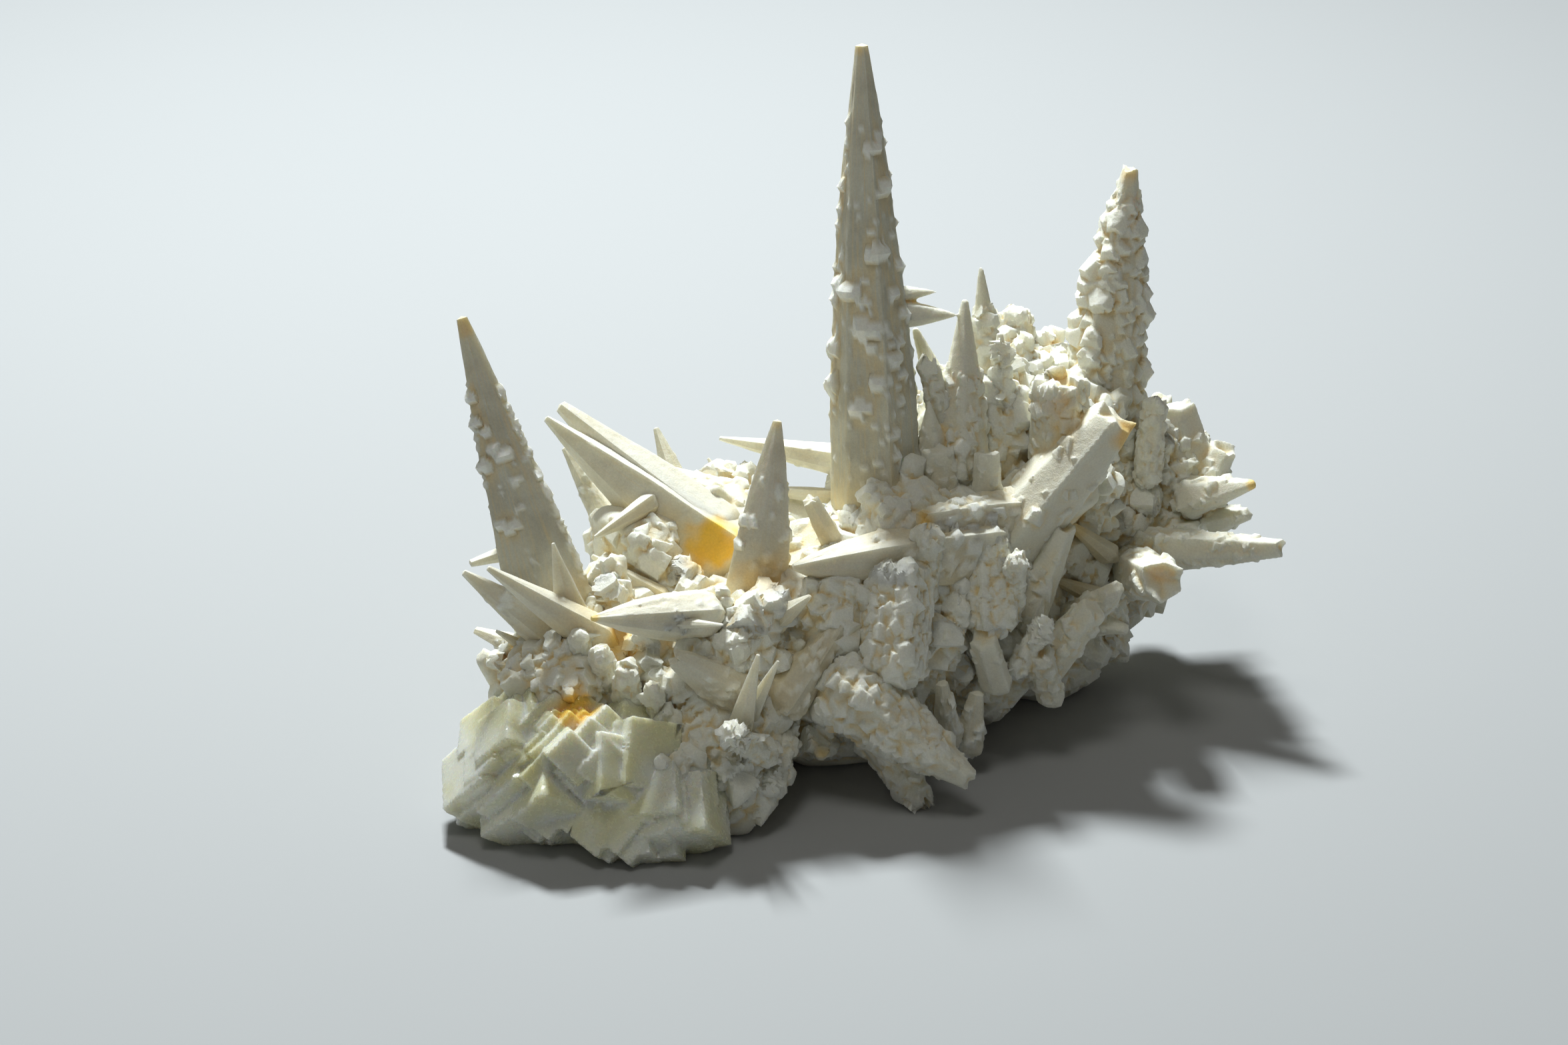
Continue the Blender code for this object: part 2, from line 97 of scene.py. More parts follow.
LUMPS = [
    Lump((-49, -61, 20), (26, 24, 20)),
    Lump((-36, -68, 26), (24, 17, 14)),
    Lump((-22, -58, 16), (24, 21, 17)),
    Lump((-47, -37, 10), (19, 23, 24)),
    Lump((-19, -38, 8), (28, 24, 26)),
    Lump((4, -31, 0), (27, 24, 31)),
    Lump((25, -23, -8), (25, 25, 35)),
    Lump((44, -16, -20), (24, 25, 36)),
    Lump((61, -8, -33), (21, 24, 36)),
    Lump((47, 15, -22), (16, 17, 24)),
    Lump((66, 12, -34), (18, 18, 24)),
    Lump((80, 1, -40), (18, 19, 22)),
    Lump((91, 12, -42), (13, 14, 15)),
    Lump((57, 31, -36), (12, 12, 14)),
    Lump((-14, 0, -12), (18, 16, 11)),
    Lump((-33, -8, 0), (15, 14, 14)),
    Lump((-30, -31, -14), (25, 21, 22)),
    Lump((4, -22, -28), (27, 22, 26)),
    Lump((35, -10, -45), (23, 20, 28)),
]
# The first lumps are the broken matrix, which shows bare at the lower left.
BARE_LUMPS = 2
# How many flat breaks a lump has, and how far from its middle they lie, as shares of its size.
BREAKS = 16
NEAREST_BREAK = 0.78
FARTHEST_BREAK = 0.96
# How finely the ball of a lump is cut, and how deep it is pitted in millimetres.
BARE_BALL = (6, 0.35)
COATED_BALL = (5, 0.7)

CRYSTALS = [
    Crystal((18.7, 114.4, 22), (23.5, -14, -4), 12.6, 1.6, 2.0, "main_spire", 0.3, 12, 1.0),
    Crystal((-77.3, 49, 22), (-53, -30, 16), 12.0, 1.4, 1.25, "left_spire", 0.15, 62, 0.75),
    Crystal((83, 85, -22), (73, 12, -36), 13.6, 2.2, 1.4, "right_spire", 0.8, -20, 1.0),
    Crystal((-57, 25, 2), (-8, -14, 4), 13.5, 0.9, 1.3, "left_blades", 0.2, 25, 0.8),
    Crystal((-53.5, 28, -1), (-10, -8, 2), 10.5, 1.6, 1.3, "left_blades", 0.2, 20, 0.8),
    Crystal((-52.5, 17.9, -12), (-32, -18, -6), 6.5, 1.0, 1.2, "left_blades", 0.3, 40, 0.8),
    Crystal((-45.4, -3.5, 18), (-30, 6, 6), 3.6, 0.5, 1.2, "left_blades", 0.2, 30, 0.9),
    Crystal((-46, -8, 16), (-27, -20, 14), 4.0, 0.6, 1.2, "left_blades", 0.2, 20, 0.9),
    Crystal((-30.7, 22.6, -22), (-24, 5, -20), 4.4, 0.8, 1.2, "left_blades", 0.3, 50, 0.9),
    Crystal((-18.2, 15.4, -26), (-12, 6, -24), 2.2, 0.4, 1.0, "left_blades", 0.2, 10, 0.9),
    Crystal((-15.4, 20.2, -14), (20, 14, -6), 5.0, 0.6, 1.3, "left_blades", 0.2, 20, 0.9),
    Crystal((-15.4, 8.6, -10), (18, 6, -6), 2.4, 0.6, 1.3, "left_blades", 0.2, 30, 0.8),
    Crystal((-1.6, 24.3, 22), (-8, -32, 16), 9.4, 1.2, 2.2, "middle_crystals", 0.1, 58, 0.8),
    Crystal((6.5, 5.4, 18), (14, -9, 12), 3.4, 2.4, 1.3, "middle_crystals", 0.2, 50, 0.8),
    Crystal((2.2, -10.6, 28), (54, -6, 0), 12.6, 0.8, 2.4, "middle_crystals", 0.3, 12, 1.0),
    Crystal((32.8, 0.8, 20), (68, 2, -8), 8.6, 2.4, 2.2, "middle_crystals", 0.4, 30, 0.9),
    Crystal((43.4, 53.4, 6), (42, 8, 0), 8.4, 1.0, 1.3, "right_crystals", 0.3, 0, 0.9),
    Crystal((47.2, 61.1, -6), (50, 14, -10), 8.0, 0.8, 1.3, "right_crystals", 0.3, 55, 0.9),
    Crystal((31.4, 46.6, 2), (40, 26, -4), 4.6, 1.0, 1.2, "right_crystals", 0.2, 30, 0.9),
    Crystal((36.6, 55.4, 6), (24, 54.6, 9), 2.8, 0.3, 1.6, "right_crystals", 0.1, 20, 1.0),
    Crystal((41.6, 49.8, 6), (24, 50, 8), 4.4, 0.3, 1.8, "right_crystals", 0.1, 20, 1.0),
    Crystal((25.8, 4.0, 16), (38, 3, 6), 2.7, 0.3, 1.3, "middle_crystals", 0.1, 20, 1.0),
    Crystal((34.7, 29.1, 8), (36, 14, 2), 5.6, 0.5, 1.1, "right_crystals", 0.2, 15, 0.8),
    Crystal((66.2, 34.2, 2), (68, 0, -6), 9.4, 7.6, 1.2, "right_crystals", 0.5, 25, 1.0),
    Crystal((79.5, 25.4, 8), (46, -14, -4), 10.6, 6.0, 2.4, "right_crystals", 0.2, 10, 1.0),
    Crystal((94.5, 28.5, -33), (98, 2, -36), 9.6, 4.4, 1.4, "right_crystals", 0.3, 55, 0.8),
    Crystal((106, 18, -32), (94, 0, -36), 8.4, 3.8, 1.3, "right_crystals", 0.3, 20, 0.9),
    Crystal((112.8, 9.2, -18), (94, 5, -30), 7.0, 1.4, 1.3, "right_crystals", 0.3, 20, 1.0),
    Crystal((119.5, -6, -8), (82, -6, -26), 6.6, 2.6, 1.3, "right_crystals", 0.3, -25, 1.0),
    Crystal((111.4, 1.9, -24), (101, 0, -32), 4.4, 2.0, 1.3, "right_crystals", 0.3, 0, 1.0),
    Crystal((91, -14, 4), (82, -10, -26), 7.2, 5.8, 1.2, "right_crystals", 0.3, 0, 1.0),
    Crystal((44.6, -62, 24), (8, -36, 22), 11.6, 3.0, 1.6, "fallen_spire", 0.5, 0, 1.0),
    Crystal((33, -67, 16), (20, -48, 12), 6.5, 3.0, 1.3, "fallen_spire", 0.5, 0, 1.0),
    Crystal((-76.8, -11.9, 26), (-50, -30, 20), 6.4, 0.8, 1.3, "front_crystals", 0.3, 30, 0.9),
    Crystal((-71, -10.9, 36), (-40, -30, 24), 6.2, 0.7, 1.3, "front_crystals", 0.1, 25, 0.8),
    Crystal((-75.2, -9.8, 20), (-66, -7, 17), 2.2, 0.9, 1.1, "front_crystals", 0.1, 20, 1.0),
    Crystal((-55.4, -5, 30), (-50, -26, 24), 5.6, 0.5, 1.0, "front_crystals", 0.1, 60, 0.6),
    Crystal((-46.2, -23, 46), (-14, -22, 28), 7.6, 0.6, 1.9, "front_crystals", 0.2, 8, 0.9),
    Crystal((-14.6, -24.6, 42), (-30, -24, 36), 2.0, 0.3, 1.2, "front_crystals", 0.1, 20, 1.0),
    Crystal((6.2, -17.8, 34), (-6, -27, 20), 4.6, 0.6, 1.2, "front_crystals", 0.2, 30, 1.0),
    Crystal((-6.2, -31.8, 48), (-11, -52, 32), 4.0, 0.5, 1.2, "front_crystals", 0.1, 50, 0.8),
    Crystal((-1.4, -33.3, 44), (-9, -48, 32), 2.8, 0.4, 1.2, "front_crystals", 0.1, 50, 0.8),
    Crystal((14, -24, 26), (-2, -46, 24), 7.2, 2.4, 1.3, "front_crystals", 0.2, 20, 0.8),
    Crystal((-26, -32.5, 40), (-6, -44, 26), 7.4, 2.4, 1.6, "front_crystals", 0.2, 12, 0.7),
    Crystal((67, 1, -6), (80, -9, -14), 3.8, 0.4, 1.2, "front_crystals", 0.1, 20, 0.9),
    Crystal((62.5, -12.5, -8), (80, -20, -16), 3.8, 0.5, 1.2, "front_crystals", 0.1, 20, 0.9),
    Crystal((38, -38.6, 16), (40, -54, 4), 4.4, 1.6, 1.2, "front_crystals", 0.3, 40, 0.9),
    Crystal((46.5, -41, 8), (44, -56, 0), 4.6, 1.8, 1.2, "front_crystals", 0.3, 40, 0.9),
    Crystal((-69, -26, 22), (-58, -32, 16), 2.4, 0.4, 1.1, "front_crystals", 0.1, 20, 1.0),
    Crystal((100, 22, -60), (78, 6, -50), 6.0, 1.6, 1.3, "back_crystals", 0.3, 200, 1.0),
    Crystal((-4, 8, -58), (16, -14, -36), 6.4, 1.2, 1.3, "back_crystals", 0.3, 200, 1.0),
    Crystal((60, 44, -66), (58, 10, -48), 7.4, 1.4, 1.3, "back_crystals", 0.3, 200, 1.0),
    Crystal((-42, 8, -34), (-20, -20, -12), 6.8, 1.0, 1.3, "back_crystals", 0.3, 200, 1.0),
    Crystal((-74, -26, -14), (-44, -38, 0), 6.2, 1.0, 1.3, "back_crystals", 0.3, 200, 1.0),
    Crystal((30, 18, -62), (30, -16, -36), 7.0, 1.6, 1.3, "back_crystals", 0.3, 200, 1.0),
    Crystal((27, -10.6, 18), (24.6, -39.4, 20), 11.5, 10.0, 1.2, "mass_columns", 0.6, 20, 1.0),
    Crystal((48.6, -2.6, 10), (50.2, -27, 10), 7.5, 6.0, 1.2, "mass_columns", 0.6, 40, 1.0),
    Crystal((47.8, -27.4, 14), (51.8, -41, 4), 4.8, 4.0, 1.2, "mass_columns", 0.3, 30, 1.0),
    Crystal((63.4, -23.4, 12), (55.8, -36, 4), 3.8, 0.5, 1.3, "mass_columns", 0.3, 30, 0.9),
    Crystal((74.2, -21, 4), (61, -36, -6), 7.0, 4.0, 1.3, "mass_columns", 0.3, 10, 1.0),
    Crystal((82.2, -25.8, -6), (66, -22, -16), 5.2, 1.5, 1.4, "mass_columns", 0.3, 20, 1.0),
    Crystal((61.4, -30.6, 8), (65, -44, -4), 4.2, 3.4, 1.2, "mass_columns", 0.3, 20, 1.0),
    Crystal((55.7, -8.6, 18), (54.7, -22, 6), 3.2, 2.6, 1.2, "mass_columns", 0.2, 45, 1.0),
    Crystal((67.8, -1, 4), (55, -28, -4), 7.5, 3.0, 1.2, "mass_columns", 0.2, 15, 1.0),
    Crystal((80.6, -15.4, -2), (62, -30, -16), 7.0, 2.0, 1.3, "mass_columns", 0.3, 10, 1.0),
    Crystal((89.4, 29.4, -20), (87, 8, -24), 4.2, 3.2, 1.2, "mass_columns", 0.5, 20, 1.0),
    Crystal((55, 50.2, -34), (56, 24, -34), 7.2, 5.6, 1.2, "mass_columns", 0.3, 20, 1.0),
    Crystal((-28.2, 11.5, -14), (12, -4, -14), 9.4, 3.0, 1.4, "mass_columns", 0.2, 10, 1.0),
    Crystal((-4.2, -0.2, 5), (18, -16, 0), 8.4, 3.0, 1.4, "mass_columns", 0.2, 10, 1.0),
    Crystal((-43.7, -0.2, 4), (-22, -24, 0), 9.6, 2.4, 1.4, "mass_columns", 0.2, 10, 1.0),
    Crystal((-16.2, -17, 30), (-9, -30, 20), 3.8, 3.0, 1.2, "mass_columns", 0.2, 20, 1.0),
    Crystal((-49.3, -26.6, 32), (-46.6, -38, 22), 3.0, 2.4, 1.2, "mass_columns", 0.2, 35, 1.0),
    Crystal((-44.2, -30.6, 34), (-43, -42, 24), 3.0, 2.4, 1.2, "mass_columns", 0.2, 15, 1.0),
    Crystal((-38, -34.6, 36), (-37, -47, 26), 3.8, 3.0, 1.2, "mass_columns", 0.2, 35, 1.0),
    Crystal((-31.4, -39.4, 37), (-30, -50, 26), 3.2, 2.2, 1.2, "mass_columns", 0.2, 5, 1.0),
    Crystal((-13.8, -50.6, 44), (-2, -56, 28), 4.0, 1.2, 1.3, "mass_columns", 0.2, 25, 0.8),
    Crystal((-14.6, -60.2, 38), (-2, -54, 24), 3.8, 1.0, 1.3, "mass_columns", 0.2, 25, 0.8),
    Crystal((-4.2, -65, 30), (2, -50, 20), 3.6, 0.8, 1.3, "mass_columns", 0.2, 25, 0.8),
    Crystal((-10, -66.5, 32), (-4, -52, 22), 3.4, 1.0, 1.3, "mass_columns", 0.2, 25, 0.8),
    Crystal((35, -2.6, 23), (33, -20, 12), 4.6, 4.0, 1.2, "mass_columns", 0.4, 25, 1.0),
    Crystal((36.6, 17.9, 8), (37.4, 0, 2), 5.8, 4.6, 1.2, "mass_columns", 0.2, 90, 0.5),
    Crystal((48.6, 16.6, 8), (48.6, 0, 2), 4.6, 3.6, 1.2, "mass_columns", 0.2, 90, 0.5),
    Crystal((34.6, 37.8, 6), (40, 18, 0), 4.2, 2.4, 1.2, "mass_columns", 0.4, 60, 0.9),
    Crystal((51.8, 45.4, -2), (52, 20, -8), 4.6, 1.0, 1.3, "mass_columns", 0.4, 60, 0.9),
]
MAIN, LEFT, RIGHT = 0, 1, 2

# The small crystals whose places show on the three spires: height on the plane, place across the spire from
# its left edge (-1) to its right edge (1), and size.
SEEN_BUMPS = {
    MAIN: [
        Bump(94, 0.65, 2.2),
        Bump(91.5, 0.9, 2.0),
        Bump(89, 0.45, 3.0),
        Bump(84, 0.95, 2.2),
        Bump(80.5, 0.72, 4.6),
        Bump(79, 0.5, 3.0),
        Bump(80, -1, 2.6),
        Bump(75, -1, 2.2),
        Bump(72, -1, 2.4),
        Bump(72, 1, 2.2),
        Bump(69, 0.2, 1.8),
        Bump(69, 0.8, 2.2),
        Bump(64, 0.3, 4.0),
        Bump(61.5, 1, 2.8),
        Bump(58.5, -0.1, 2.4),
        Bump(57, -0.85, 4.2),
        Bump(55, -0.65, 4.6),
        Bump(53.5, -0.95, 3.4),
        Bump(54, 0.65, 3.6),
        Bump(52.5, -0.1, 3.0),
        Bump(50, 0.9, 3.6),
        Bump(46, -0.12, 4.6),
        Bump(45.8, 0.12, 4.4),
        Bump(42.5, 0.05, 2.6),
        Bump(43.5, 0.7, 2.8),
        Bump(42.5, -1, 4.6),
        Bump(40.5, -0.95, 4.0),
        Bump(39, 0.5, 4.0),
        Bump(33.5, -1, 4.8),
        Bump(31.5, -0.95, 4.0),
        Bump(33, 0.2, 3.4),
        Bump(35, 0.7, 3.2),
        Bump(29, 0.6, 2.6),
        Bump(27, -0.35, 3.8),
        Bump(27, -0.2, 3.4),
        Bump(23, 0.05, 2.2),
        Bump(20.5, 0.45, 2.6),
        Bump(15.5, 0.45, 2.8),
        Bump(14, 0.1, 2.2),
    ],
    LEFT: [
        Bump(29.5, -1, 2.4),
        Bump(23, -1, 2.6),
        Bump(21, -0.6, 2.6),
        Bump(17.5, -0.4, 3.0),
        Bump(16, -0.1, 3.0),
        Bump(13.5, -1, 3.0),
        Bump(13, -0.8, 3.0),
        Bump(10, 0.1, 2.6),
        Bump(3, -0.1, 2.2),
        Bump(-2, -0.5, 3.2),
        Bump(-1, -0.8, 2.6),
    ],
    RIGHT: [
        Bump(76, -0.9, 3.2),
        Bump(72, -1, 3.6),
        Bump(68, -1, 4.6),
        Bump(60, -1, 7.0),
        Bump(57, -0.9, 6.5),
        Bump(53, -1, 5.0),
        Bump(48, -1, 6.5),
        Bump(45, -0.95, 6.0),
        Bump(55, 1, 5.0),
        Bump(50, 1, 5.6),
        Bump(36, 1, 5.0),
    ],
}

FRINGES = [
    Fringe(LEFT, 34, -18, 0.97, 90),
    Fringe(LEFT, 34, 0, -0.97, 20),
    Fringe(RIGHT, 80, 56, -0.95, 24),
]


def place(right, up, toward):
    """The point in space of a reading on the plane, in metres."""
    closer = 1 - toward / EYE_DISTANCE
    x = right * closer
    y = up * closer * math.sin(LOOK_DOWN) - toward * math.cos(LOOK_DOWN)
    z = up * closer * math.cos(LOOK_DOWN) + toward * math.sin(LOOK_DOWN) + PLANE_HEIGHT
    return (np.array((x, y, z)) - MIDDLE) * MM


def read_back(points):
    """The readings on the plane, in millimetres, of points in space."""
    off = points / MM + MIDDLE
    off = off - np.array((0, 0, PLANE_HEIGHT))
    toward = off @ EYE_WAY
    up = off[:, 1] * math.sin(LOOK_DOWN) + off[:, 2] * math.cos(LOOK_DOWN)
    closer = 1 - toward / EYE_DISTANCE
    return np.stack([off[:, 0] / closer, up / closer, toward], axis=1)


def smooth(value, low, high):
    """0 below low, 1 above high, and an even turn between."""
    share = np.clip((value - low) / (high - low), 0, 1)
    return share * share * (3 - 2 * share)


def lattice(x, y, z, seed):
    """An even spread of numbers from -1 to 1, one for each whole-number point."""
    mixed = (x * 374761393 + y * 668265263 + z * 1442695041 + seed * 1013904223) & 0xFFFFFFFF
    mixed = ((mixed ^ (mixed >> 13)) * 1274126177) & 0xFFFFFFFF
    mixed = mixed ^ (mixed >> 16)
    return mixed.astype(float) / 0xFFFFFFFF * 2 - 1


def cloud(points, seed=0):
    """Soft noise from -1 to 1 at points, with lumps one unit across."""
    low = np.floor(points).astype(np.int64)
    off = points - low
    off = off * off * (3 - 2 * off)
    total = np.zeros(len(points))
    for corner in range(8):
        step = np.array((corner & 1, corner >> 1 & 1, corner >> 2 & 1))
        weight = np.prod(np.where(step, off, 1 - off), axis=1)
        at = low + step
        total += weight * lattice(at[:, 0], at[:, 1], at[:, 2], seed)
    return total


def rough(points, octaves, seed=0):
    """Noise with finer and finer lumps."""
    total = np.zeros(len(points))
    for octave in range(octaves):
        total += cloud(points * 2.03**octave, seed + octave) / 2**octave
    return total


def deselect_all():
    if bpy.context.mode != "OBJECT":
        bpy.ops.object.mode_set(mode="OBJECT")
    bpy.ops.object.select_all(action="DESELECT")


def pick_faces(mesh, wanted):
    """Selects the faces of the mesh for which wanted(face) is true."""
    bpy.ops.object.mode_set(mode="OBJECT")
    for item in list(mesh.vertices) + list(mesh.edges):
        item.select = False
    for face in mesh.polygons:
        face.select = bool(wanted(face))
    bpy.ops.object.mode_set(mode="EDIT")


class Form:
    """A modelled shape read into arrays, ready to be copied many times."""

    def __init__(self, thing):
        mesh = thing.data
        self.points = np.empty(len(mesh.vertices) * 3)
        mesh.vertices.foreach_get("co", self.points)
        self.points = self.points.reshape(-1, 3)
        self.corners = np.empty(len(mesh.loops), dtype=np.int64)
        mesh.loops.foreach_get("vertex_index", self.corners)
        self.counts = np.empty(len(mesh.polygons), dtype=np.int64)
        mesh.polygons.foreach_get("loop_total", self.counts)
        bpy.data.objects.remove(thing, do_unlink=True)


def column_form(around, rings):
    """A round column of height 1 on the origin, cut into rings, with fanned ends."""
    deselect_all()
    bpy.ops.mesh.primitive_cylinder_add(
        vertices=around, radius=1, depth=1, end_fill_type="TRIFAN", location=(0, 0, 0.5)
    )
    bpy.ops.object.transform_apply(location=True, rotation=False, scale=False)
    thing = bpy.context.object
    mesh = thing.data
    bpy.ops.object.mode_set(mode="EDIT")
    bpy.ops.mesh.select_mode(type="EDGE")
    bpy.ops.mesh.select_all(action="DESELECT")
    bpy.ops.object.mode_set(mode="OBJECT")
    for edge in mesh.edges:
        first, second = (mesh.vertices[i].co for i in edge.vertices)
        edge.select = abs(first.z - second.z) > 0.5
    bpy.ops.object.mode_set(mode="EDIT")
    bpy.ops.mesh.subdivide(number_cuts=rings - 1)
    bpy.ops.mesh.select_mode(type="FACE")
    bpy.ops.object.mode_set(mode="OBJECT")
    return Form(thing)


def plate_form(sides, wide, rises, lift, skew):
    """A small crystal lying flat: growing along +Y, 1 long, its back on the plane and its face towards +Z.

    rises are the steps up from the back, each a height and the share that the outline shrinks to.
    """
    deselect_all()
    bpy.ops.mesh.primitive_cylinder_add(
        vertices=sides, radius=0.5, depth=rises[0][0], rotation=(0, 0, math.pi / 2)
    )
    thing = bpy.context.object
    thing.location = (0, 0, rises[0][0] / 2)
    bpy.ops.object.transform_apply()
    top = rises[0][0]
    for height, share in rises[1:]:
        pick_faces(thing.data, lambda face: face.normal.z > 0.9 and face.center.z > top - 0.01)
        bpy.ops.mesh.extrude_region_move(TRANSFORM_OT_translate={"value": (0, 0, height - top)})
        bpy.ops.transform.resize(value=(share, share, 1))
        top = height
    bpy.ops.object.mode_set(mode="OBJECT")
    for vertex in thing.data.vertices:
        vertex.co.x = vertex.co.x * wide + skew * vertex.co.y
        vertex.co.z += lift * (vertex.co.y + 0.2)
    return Form(thing)


def rhomb_form(lean, taper, edge):
    """A cleavage block with worn edges, growing along +Y and 1 long."""
    deselect_all()
    bpy.ops.mesh.primitive_cube_add(size=1)
    thing = bpy.context.object
    for vertex in thing.data.vertices:
        x, y, z = vertex.co
        draw = 1 - taper * (y + 0.5)
        vertex.co = (x * draw * 0.85 + lean * y, y, z * draw * 0.7 + lean * 0.5 * y)
    wear = thing.modifiers.new("wear", "BEVEL")
    wear.width = edge
    wear.segments = 1
    bpy.ops.object.modifier_apply(modifier="wear")
    return Form(thing)


class Pile:
    """Many copies of forms, gathered into one mesh with what the finishes read at each point."""

    def __init__(self):
        self.points, self.corners, self.counts = [], [], []
        # Per point: the painted shade of its crevices, its tone and its grain.
        self.crevice, self.tone, self.grain = [], [], []
        self.size = 0

    def add(self, form, points, crevice, tone, grain):
        self.points.append(points)
        self.corners.append(form.corners + self.size)
        self.counts.append(form.counts)
        self.crevice.append(crevice)
        self.tone.append(np.full(len(points), tone))
        self.grain.append(grain)
        self.size += len(points)

    def add_copy(self, form, matrix, deep, tone, dice):
        """A copy of a form, with painted shade at its foot, deep more than at its growing end."""
        points = form.points @ matrix[:3, :3].T + matrix[:3, 3]
        growth = form.points[:, 1] + 0.6 * form.points[:, 2]
        crevice = deep * (1 - smooth(growth, -0.35, 0.35))
        shift = np.array([dice.uniform(0, 50) for _ in range(3)])
        self.add(form, points, crevice, tone, points / MM + shift)

    def faces(self):
        corners = np.concatenate(self.corners)
        counts = np.concatenate(self.counts)
        return np.concatenate(self.points), corners, counts

    def raw(self, name):
        """The pile as an object with nothing on it."""
        points, corners, counts = self.faces()
        mesh = bpy.data.meshes.new(name)
        mesh.vertices.add(len(points))
        mesh.vertices.foreach_set("co", points.ravel())
        mesh.loops.add(len(corners))
        mesh.loops.foreach_set("vertex_index", corners.astype(np.int32))
        mesh.polygons.add(len(counts))
        starts = np.concatenate([[0], np.cumsum(counts)[:-1]])
        mesh.polygons.foreach_set("loop_start", starts.astype(np.int32))
        mesh.update(calc_edges=True)
        mesh.validate()
        thing = bpy.data.objects.new(name, mesh)
        bpy.context.scene.collection.objects.link(thing)
        deselect_all()
        thing.select_set(True)
        bpy.context.view_layer.objects.active = thing
        return thing

    def piece(self, name, material, druse):
        """The pile as a finished piece, with its small crystals raised out of its faces."""
        thing = self.raw(name)
        points, edges = read_mesh(thing.data)
        points, height, tones = druse.raised(points, settled(thing.data, points, edges, 4))
        sunk = hollows(thing.data, points, edges)
        # The raised small crystals are whiter: partly their own paler colour, partly a painted highlight.
        coat = smooth(height, 0.05, 0.5)
        # Painted shade: the hollows get the warm crevice colour, less on the raised small crystals.
        crevice = np.maximum(np.concatenate(self.crevice), 0.5 * smooth(sunk, 0.03, 0.3) * (1 - coat))
        tone = np.where(height > 0, tones, np.concatenate(self.tone))
        dress(thing, crevice, tone, coat, np.concatenate(self.grain))
        bpy.ops.object.shade_smooth_by_angle(angle=math.radians(FACE_SHARP))
        hand_in(thing, material)


def settled(mesh, points, edges, rounds):
    """The outward ways at the points of a mesh, evened out."""
    normals = evened(moved(mesh, points), edges, rounds, 0.5)
    return normals / np.maximum(1e-6, np.linalg.norm(normals, axis=1))[:, None]


# The height in millimetres that no point goes below, and the rounds of evening out that find the hollows.
LOWEST = 0.02
HOLLOW_ROUNDS = 26


def hollows(mesh, points, edges):
    """Puts new points into a mesh, none under the floor, and tells how far each lies below its
    surroundings, in millimetres."""
    points[:, 2] = np.maximum(points[:, 2], LOWEST * MM)
    normals = moved(mesh, points)
    return np.sum((evened(points, edges, HOLLOW_ROUNDS, 0.6) - points) * normals, axis=1) / MM


def facets(*faces):
    """The faces of a small crystal: the way each looks (across, along, out), and how far off the middle."""
    held = np.array(faces)
    held[:, :3] /= np.linalg.norm(held[:, :3], axis=1)[:, None]
    return held


def tooth(sides, slope, wide):
    """The faces of a small pointed crystal with that many sides."""
    turns = [number * math.tau / sides for number in range(sides)]
    return facets(*((math.cos(turn), slope, math.sin(turn), wide) for turn in turns))


# The cells, in millimetres, that sort the points of a skin, and how many of them fit along an axis.
CELL = 4.0
CELLS_ACROSS = 2048
# How far from its middle a small crystal reaches, as a share of its size, and how far above the skin, in
# metres, its near side may lie.
REACH = 0.8
CLEARANCE = 0.0015


class Druse:
    """Small flat-faced crystals that have grown together with the skin which they stand on."""

    def __init__(self):
        self.grown = []

    def add_copy(self, faces, matrix, deep, tone, dice):
        """Takes what a pile takes, so that either can be covered; the skin itself gets the painted shade in
        its crevices.
        """
        self.grown.append((faces, matrix, tone))

    def raised(self, points, outward):
        """The points moved out to the crystals' faces, how far in millimetres, and their tones."""
        height = np.zeros(len(points))
        tones = np.full(len(points), 0.5)
        codes = cell_codes(np.floor(points / (CELL * MM)).astype(np.int64))
        order = np.argsort(codes, kind="stable")
        codes = codes[order]
        for faces, matrix, tone in self.grown:
            reach = REACH * np.linalg.norm(matrix[:3, :3], axis=0).max() / MM
            span = np.arange(-math.ceil(reach / CELL), math.ceil(reach / CELL) + 1)
            around = np.stack(np.meshgrid(span, span, span), axis=-1).reshape(-1, 3)
            wanted = cell_codes(np.floor(matrix[:3, 3] / (CELL * MM)).astype(np.int64) + around)
            starts = np.searchsorted(codes, wanted, "left")
            ends = np.searchsorted(codes, wanted, "right")
            near = np.concatenate([order[start:end] for start, end in zip(starts, ends)])
            off = points[near] - matrix[:3, 3]
            close = np.linalg.norm(off, axis=1) < reach * MM
            near, off = near[close], off[close]
            ways = faces[:, :3] @ np.linalg.inv(matrix[:3, :3])
            room = faces[:, 3] - off @ ways.T
            speed = outward[near] @ ways.T
            slow = np.abs(speed) < 1e-3
            cross = room / np.where(slow, 1, speed)
            leave = np.where(~slow & (speed > 0), cross, 1.0).min(axis=1)
            enter = np.where(~slow & (speed < 0), cross, -1.0).max(axis=1)
            shut = (slow & (room < 0)).any(axis=1)
            gain = np.where((leave > enter) & ~shut & (enter < CLEARANCE), leave, 0)
            better = (gain > height[near]) & (gain < reach * MM)
            hit = near[better]
            height[hit] = gain[better]
            tones[hit] = tone
        return points + outward * height[:, None], height / MM, tones


def cell_codes(cells):
    """One whole number for each cell."""
    return (cells[:, 0] * CELLS_ACROSS + cells[:, 1]) * CELLS_ACROSS + cells[:, 2]


def joined(piles):
    """Several piles as one."""
    whole = Pile()
    for pile in piles:
        for name in ("points", "counts", "crevice", "tone", "grain"):
            getattr(whole, name).extend(getattr(pile, name))
        whole.corners.extend(corners + whole.size for corners in pile.corners)
        whole.size += pile.size
    return whole


